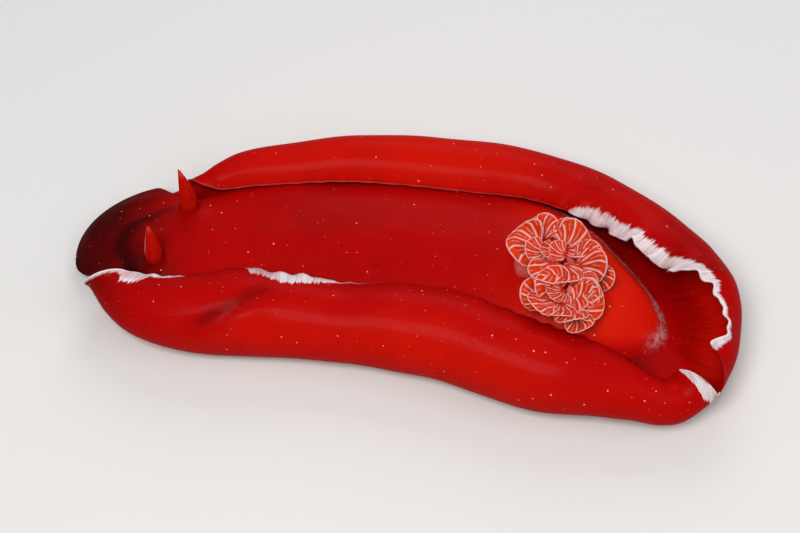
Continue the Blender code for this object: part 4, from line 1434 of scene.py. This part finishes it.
@dataclass
class Rhinophore:
    """A feeler of stacked leaves on a stalk, inside a raised sheath."""

    side: Side
    x: float
    offset: float
    lean: Pair
    shape: BodyShape
    shift: Array
    finish: Material
    skin: Material
    floor: float = 13.2
    stalk: float = 3.7
    stalk_top: float = 21.0
    length: float = 15.8
    tip: float = 0.5
    taper: float = 1.9
    leaves: int = 30
    leaf_height: float = 0.50
    slant: float = 0.35
    sides: int = 40
    rings: int = 46
    # Collar of skin: profile of radius and height, folds, sides and rings.
    collar: tuple = (
        (3.82, 13.5), (7.6, 14.2), (7.4, 16.5), (6.2, 18.2), (5.0, 19.4), (4.3, 20.7), (4.05, 21.3),
        (3.9, 21.4), (3.82, 20.8),
    )
    collar_fold: tuple = (9, 0.010, 0.15, 18.9, 21.4)
    collar_sides: int = 64
    collar_rings: int = 60
    # Radius and height of the rise of the back that the collar stands on.
    rise: Pair = (8.0, 2.6)

    def centre(self) -> Pair:
        """Plan position of the axis at its foot."""
        return self.x, float(self.shape.line(np.array([self.x]), self.shape.spine)[0]) + self.offset

    def leaf_tree(self) -> Group:
        """Node tree that stacks slanting leaves up a leaning tapered club.

        Returns:
            The node group, with its sizes as named inputs in metres.
        """
        names = ("Leaves", "Length", "Base Radius", "Tip Radius", "Leaf Height", "Slant", "Lean X", "Lean Y",
                 "Foot X", "Foot Y", "Foot Z")
        inputs = {**dict.fromkeys(names, "Float"), "Leaves": "Int", "Finish": "Material"}
        tree, source = geometry_tree("leaf_stack_" + self.side.word, inputs)
        sizes = (Value(tree, source.outputs[name]) for name in names)
        leaves, length, base, tip, height, slant, lean_x, lean_y, x, y, z = sizes
        share = Value(tree, tree.node("GeometryNodeInputIndex").outputs[0]) / leaves
        bend = (share * 0.95 + 0.05) ** 2.0
        spot = tree.vector(x + lean_x * bend, y + lean_y * bend, z + length * share)
        points = tree.node("GeometryNodePoints", None, {"Count": leaves, "Position": spot})
        ball = {"Segments": self.sides, "Rings": 10, "Radius": 1.0}
        leaf = tree.node("GeometryNodeMeshUVSphere", None, ball)
        radius = base - (base - tip) * share**self.taper
        inputs = {"Points": points.outputs[0], "Instance": leaf.outputs["Mesh"],
                  "Scale": tree.vector(radius, radius, height),
                  "Rotation": tree.vector(0.0, slant * -1.0, 0.0)}
        stack = tree.node("GeometryNodeInstanceOnPoints", None, inputs)
        return close_tree(tree, stack.outputs[0], source.outputs["Finish"])

    def core(self) -> Array:
        """Points of the stalk and the core that the leaves stand on.

        Returns:
            The points, ring by ring.
        """
        centre, turn = self.centre(), round_angles(self.sides)[None, :]
        share = np.linspace(0, 1, self.rings)[:, None]
        up = self.floor + (self.stalk_top + self.length + 1.1 - self.floor) * share
        high = np.maximum(0.0, (up - self.stalk_top) / self.length)
        club = np.minimum(high, 1) ** self.taper
        on_stalk = self.stalk * (1 + 0.02 * np.sin(9 * share))
        radius = np.where(high > 0, 0.95 * (self.stalk * (1 - club) + self.tip * club), on_stalk)
        radius = radius * (np.sqrt(1 - np.clip((share - 0.95) / 0.05, 0, 1) ** 2) * 0.9 + 0.1)
        bend = np.where(high > 0, (0.05 + 0.95 * np.minimum(high, 1.05)) ** 2, 0.0)
        x, y = (c + radius * f(turn) + lean * bend for c, f, lean in zip(centre, (np.cos, np.sin), self.lean))
        return point_rows(x, y, up)

    def build_feeler(self) -> Piece:
        """Joins stalk and leaves into one piece.

        Returns:
            The finished feeler.
        """
        core, (cx, cy) = self.core(), self.centre()
        sizes = {"Length": self.length, "Base Radius": self.stalk + 0.1, "Tip Radius": self.tip,
                 "Leaf Height": self.leaf_height, "Lean X": self.lean[0], "Lean Y": self.lean[1],
                 "Foot X": cx + self.shift[0], "Foot Y": cy + self.shift[1], "Foot Z": self.stalk_top + 0.9}
        sizes = {name: size * MM for name, size in sizes.items()}
        sizes |= {"Leaves": self.leaves, "Slant": self.slant, "Finish": self.finish}
        leaves, leaf_faces = mesh_parts(run_geometry(self.leaf_tree(), sizes))
        verts = np.concatenate([core, leaves - self.shift])
        faces = tube_faces(self.rings, self.sides) + [tuple(i + len(core) for i in f) for f in leaf_faces]
        obj = make_piece(f"rhinophore_{self.side.word}_feeler", verts, faces, self.finish, self.shift)
        up = np.clip((verts[:, 2] - self.floor) / (self.stalk_top + self.length - self.floor), 0, 1)
        rise = np.clip((verts[:, 2] - self.stalk_top) / self.length, 0, 1)
        ahead = verts[:, 0] - cx - self.lean[0] * rise**2
        pale = 0.9 if self.side is Side.LEFT else 0.0
        store(obj, up=up, keel=pale * step(-ahead / (4.0 - 2.8 * rise), 0.72, 0.95) * step(up, 0.4, 0.5))
        return obj

    def build_sheath(self) -> Piece:
        """Builds the raised collar of skin round the stalk.

        Returns:
            The finished collar.
        """
        rows, sides = self.collar_rings, self.collar_sides
        points = lathe(self.centre(), self.collar, rows, sides, self.collar_fold)
        last = len(points) - sides
        faces = grid_faces(rows, sides, wrap=True)
        faces += [(last + i, last + (i + 1) % sides, (i + 1) % sides, i) for i in range(sides)]
        obj = make_piece(f"rhinophore_{self.side.word}_sheath", points, faces, self.skin, self.shift)
        # Painted shade at the front of the head, as on the skin.
        store_plain_skin(obj, points, 0.06 - HEAD_SHADE * head_shade(points[:, 0]))
        return obj


@dataclass
class OralTentacle:
    """A flat lobed mouth feeler under the head."""

    side: Side
    shape: BodyShape
    shift: Array
    skin: Material
    root: Triple = (-107.0, 8.0, 7.6)
    tip: Triple = (-126.0, 13.5, 2.6)
    half_width: float = 5.0
    thickness: float = 2.4
    rings: int = 60
    sides: int = 48

    def build(self) -> Piece:
        """Builds the feeler.

        Returns:
            The finished piece.
        """
        spine = float(self.shape.line(np.array([self.root[0]]), self.shape.spine)[0])
        share, turn = np.linspace(0, 1, self.rings)[:, None], round_angles(self.sides)[None, :]
        run = np.array(self.tip) - np.array(self.root)
        x = self.root[0] + run[0] * share
        y = spine + self.side.value * (self.root[1] + run[1] * share**1.3)
        z = self.root[2] + run[2] * share**1.6
        lobes = 1 + 0.10 * np.sin(6 * math.pi * share) + 0.03 * np.sin(31 * share)
        half = self.half_width * (0.55 + 0.5 * np.sin(math.pi * np.minimum(1.0, share * 0.62 + 0.2))) * lobes
        half = half * (np.sqrt(1 - np.clip((share - 0.84) / 0.16, 0, 1) ** 2) * 0.97 + 0.03)
        thick = self.thickness * (1 - 0.45 * share) * (1 - 0.8 * np.clip((share - 0.92) / 0.08, 0, 1) ** 2)
        wave = 0.25 * share * np.sin(3 * np.cos(turn) * math.pi + 4 * share)
        points = point_rows(x, y + half * np.cos(turn), z + thick / 2 * np.sin(turn) + wave)
        faces = tube_faces(self.rings, self.sides)
        obj = make_piece(f"mouth_feeler_{self.side.word}", points, faces, self.skin, self.shift)
        share = np.repeat(share, self.sides)
        store_plain_skin(obj, points, 0.3 + 0.4 * share, step(share, 0.85, 1.0) * 0.5, 0.25)
        return obj


@dataclass
class Studio:
    """Floor, lights and camera."""

    azimuth: float = 10.0
    elevation: float = 55.0
    distance: float = 0.750
    lens: float = 82.0
    target: Triple = (0.0028, -0.0089, 0.012)
    slide: Pair = (-0.0037, 0.0043)
    floor_size: float = 3.0
    sky: Colour = (0.92, 0.94, 1.0)
    sky_strength: float = 0.30
    lamp_aim: Triple = (0.0, 0.0, 0.01)
    # Each row: name, place and side in metres, power in watts, colour.
    lamps: tuple = (
        ("key_light", (-0.15, -0.55, 1.0), 0.5, 11.0, (1.0, 0.98, 0.95)),
        ("fill_light", (0.75, -0.15, 0.6), 0.7, 3.0, (1.0, 0.97, 0.95)),
        ("back_light", (0.0, 0.8, 0.6), 0.6, 3.5, (0.95, 0.97, 1.0)),
    )

    def aim(self, obj: Piece, spot: Vector, back: Vector) -> None:
        """Places a light or camera, with its back to a direction.

        Args:
            obj: The light or camera.
            spot: Its place.
            back: Direction behind it.
        """
        obj.location = spot
        obj.rotation_mode = "QUATERNION"
        obj.rotation_quaternion = (-back).to_track_quat("-Z", "Y")

    def camera(self) -> None:
        """Sets the camera at the photograph's angle."""
        a, e = math.radians(self.azimuth), math.radians(self.elevation)
        back = Vector((math.sin(a) * math.cos(e), -math.cos(a) * math.cos(e), math.sin(e)))
        right = Vector((math.cos(a), math.sin(a), 0.0))
        data = bpy.data.cameras.new("camera")
        data.lens, data.sensor_width, data.clip_start, data.clip_end = self.lens, 36.0, 0.01, 20.0
        cam = add_object("camera", data)
        middle = Vector(self.target) + right * self.slide[0] + back.cross(right) * self.slide[1]
        self.aim(cam, middle + back * self.distance, back)
        bpy.context.scene.camera = cam

    def build(self) -> None:
        """Builds floor, world, lights and camera."""
        size = self.floor_size
        mesh = bpy.data.meshes.new("floor")
        corners = [(-size, -size, 0), (size, -size, 0), (size, size, 0), (-size, size, 0)]
        mesh.from_pydata(corners, [], [(0, 1, 2, 3)])
        mesh.materials.append(FloorFinish().build())
        add_object("floor", mesh)
        world = bpy.data.worlds.new("studio")
        world.use_nodes = True
        background = world.node_tree.nodes["Background"]
        background.inputs[0].default_value = (*self.sky, 1.0)
        background.inputs[1].default_value = self.sky_strength
        bpy.context.scene.world = world
        bpy.context.scene.view_settings.view_transform = "Standard"
        for name, spot, side, power, colour in self.lamps:
            data = bpy.data.lights.new(name, "AREA")
            data.size, data.energy, data.color = side, power, colour
            self.aim(add_object(name, data), Vector(spot), Vector(spot) - Vector(self.lamp_aim))
        self.camera()


def finish_piece(obj: Piece, slot: str, *nodes: str) -> None:
    """Ties a piece to the frame and reports it.

    Args:
        obj: The piece.
        slot: Name of a material slot; not used.
        nodes: Solids that it stands for.
    """
    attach(obj, "root")
    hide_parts(*nodes)
    LOG.info("%s: %d faces for %s", obj.name, len(obj.data.polygons), ", ".join(nodes))


def main() -> None:
    """Builds every piece in order."""
    logging.basicConfig(level=logging.INFO, format="%(message)s")
    low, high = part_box("anal_papilla")
    middle = (np.array(low[:]) + np.array(high[:])) / 2 / MM
    shift = np.array([middle[0] - VENT[0], middle[1] - VENT[1], 0.0])
    shape = BodyShape()
    skin_finish = SkinFinish().build()
    gill_finish = GillFinish().build()
    feeler_finish = FeelerFinish().build()
    # Each row: side, place along the body, offset from the middle line, lean in millimetres.
    places = ((Side.RIGHT, -93.4, 14.4, (-4.0, 5.0)), (Side.LEFT, -101.4, -12.0, (-1.4, 2.6)))
    feelers = [Rhinophore(*place, shape, shift, feeler_finish, skin_finish) for place in places]
    skin = Skin(shape, shift, skin_finish, [(*f.centre(), *f.rise) for f in feelers])
    finish_piece(skin.build(), "mantle_skin", *skin.nodes)
    for feeler in feelers:
        finish_piece(feeler.build_feeler(), "rhinophore_skin", "rhinophore_" + feeler.side.word)
        finish_piece(feeler.build_sheath(), "sheath_skin", "rhinophore_sheath_" + feeler.side.word)
    for side in Side:
        tentacle = OralTentacle(side, shape, shift, skin_finish).build()
        finish_piece(tentacle, "oral_skin", "oral_tentacle_" + side.word)
    for number, plume in enumerate(GillRing(shift, gill_finish).build()):
        finish_piece(plume, "gill_skin", f"gill_{number + 1}")
    finish_piece(VentTube(shift, gill_finish).build(), "papilla_skin", "anal_papilla")
    Studio().build()


if __name__ == "__main__":
    main()
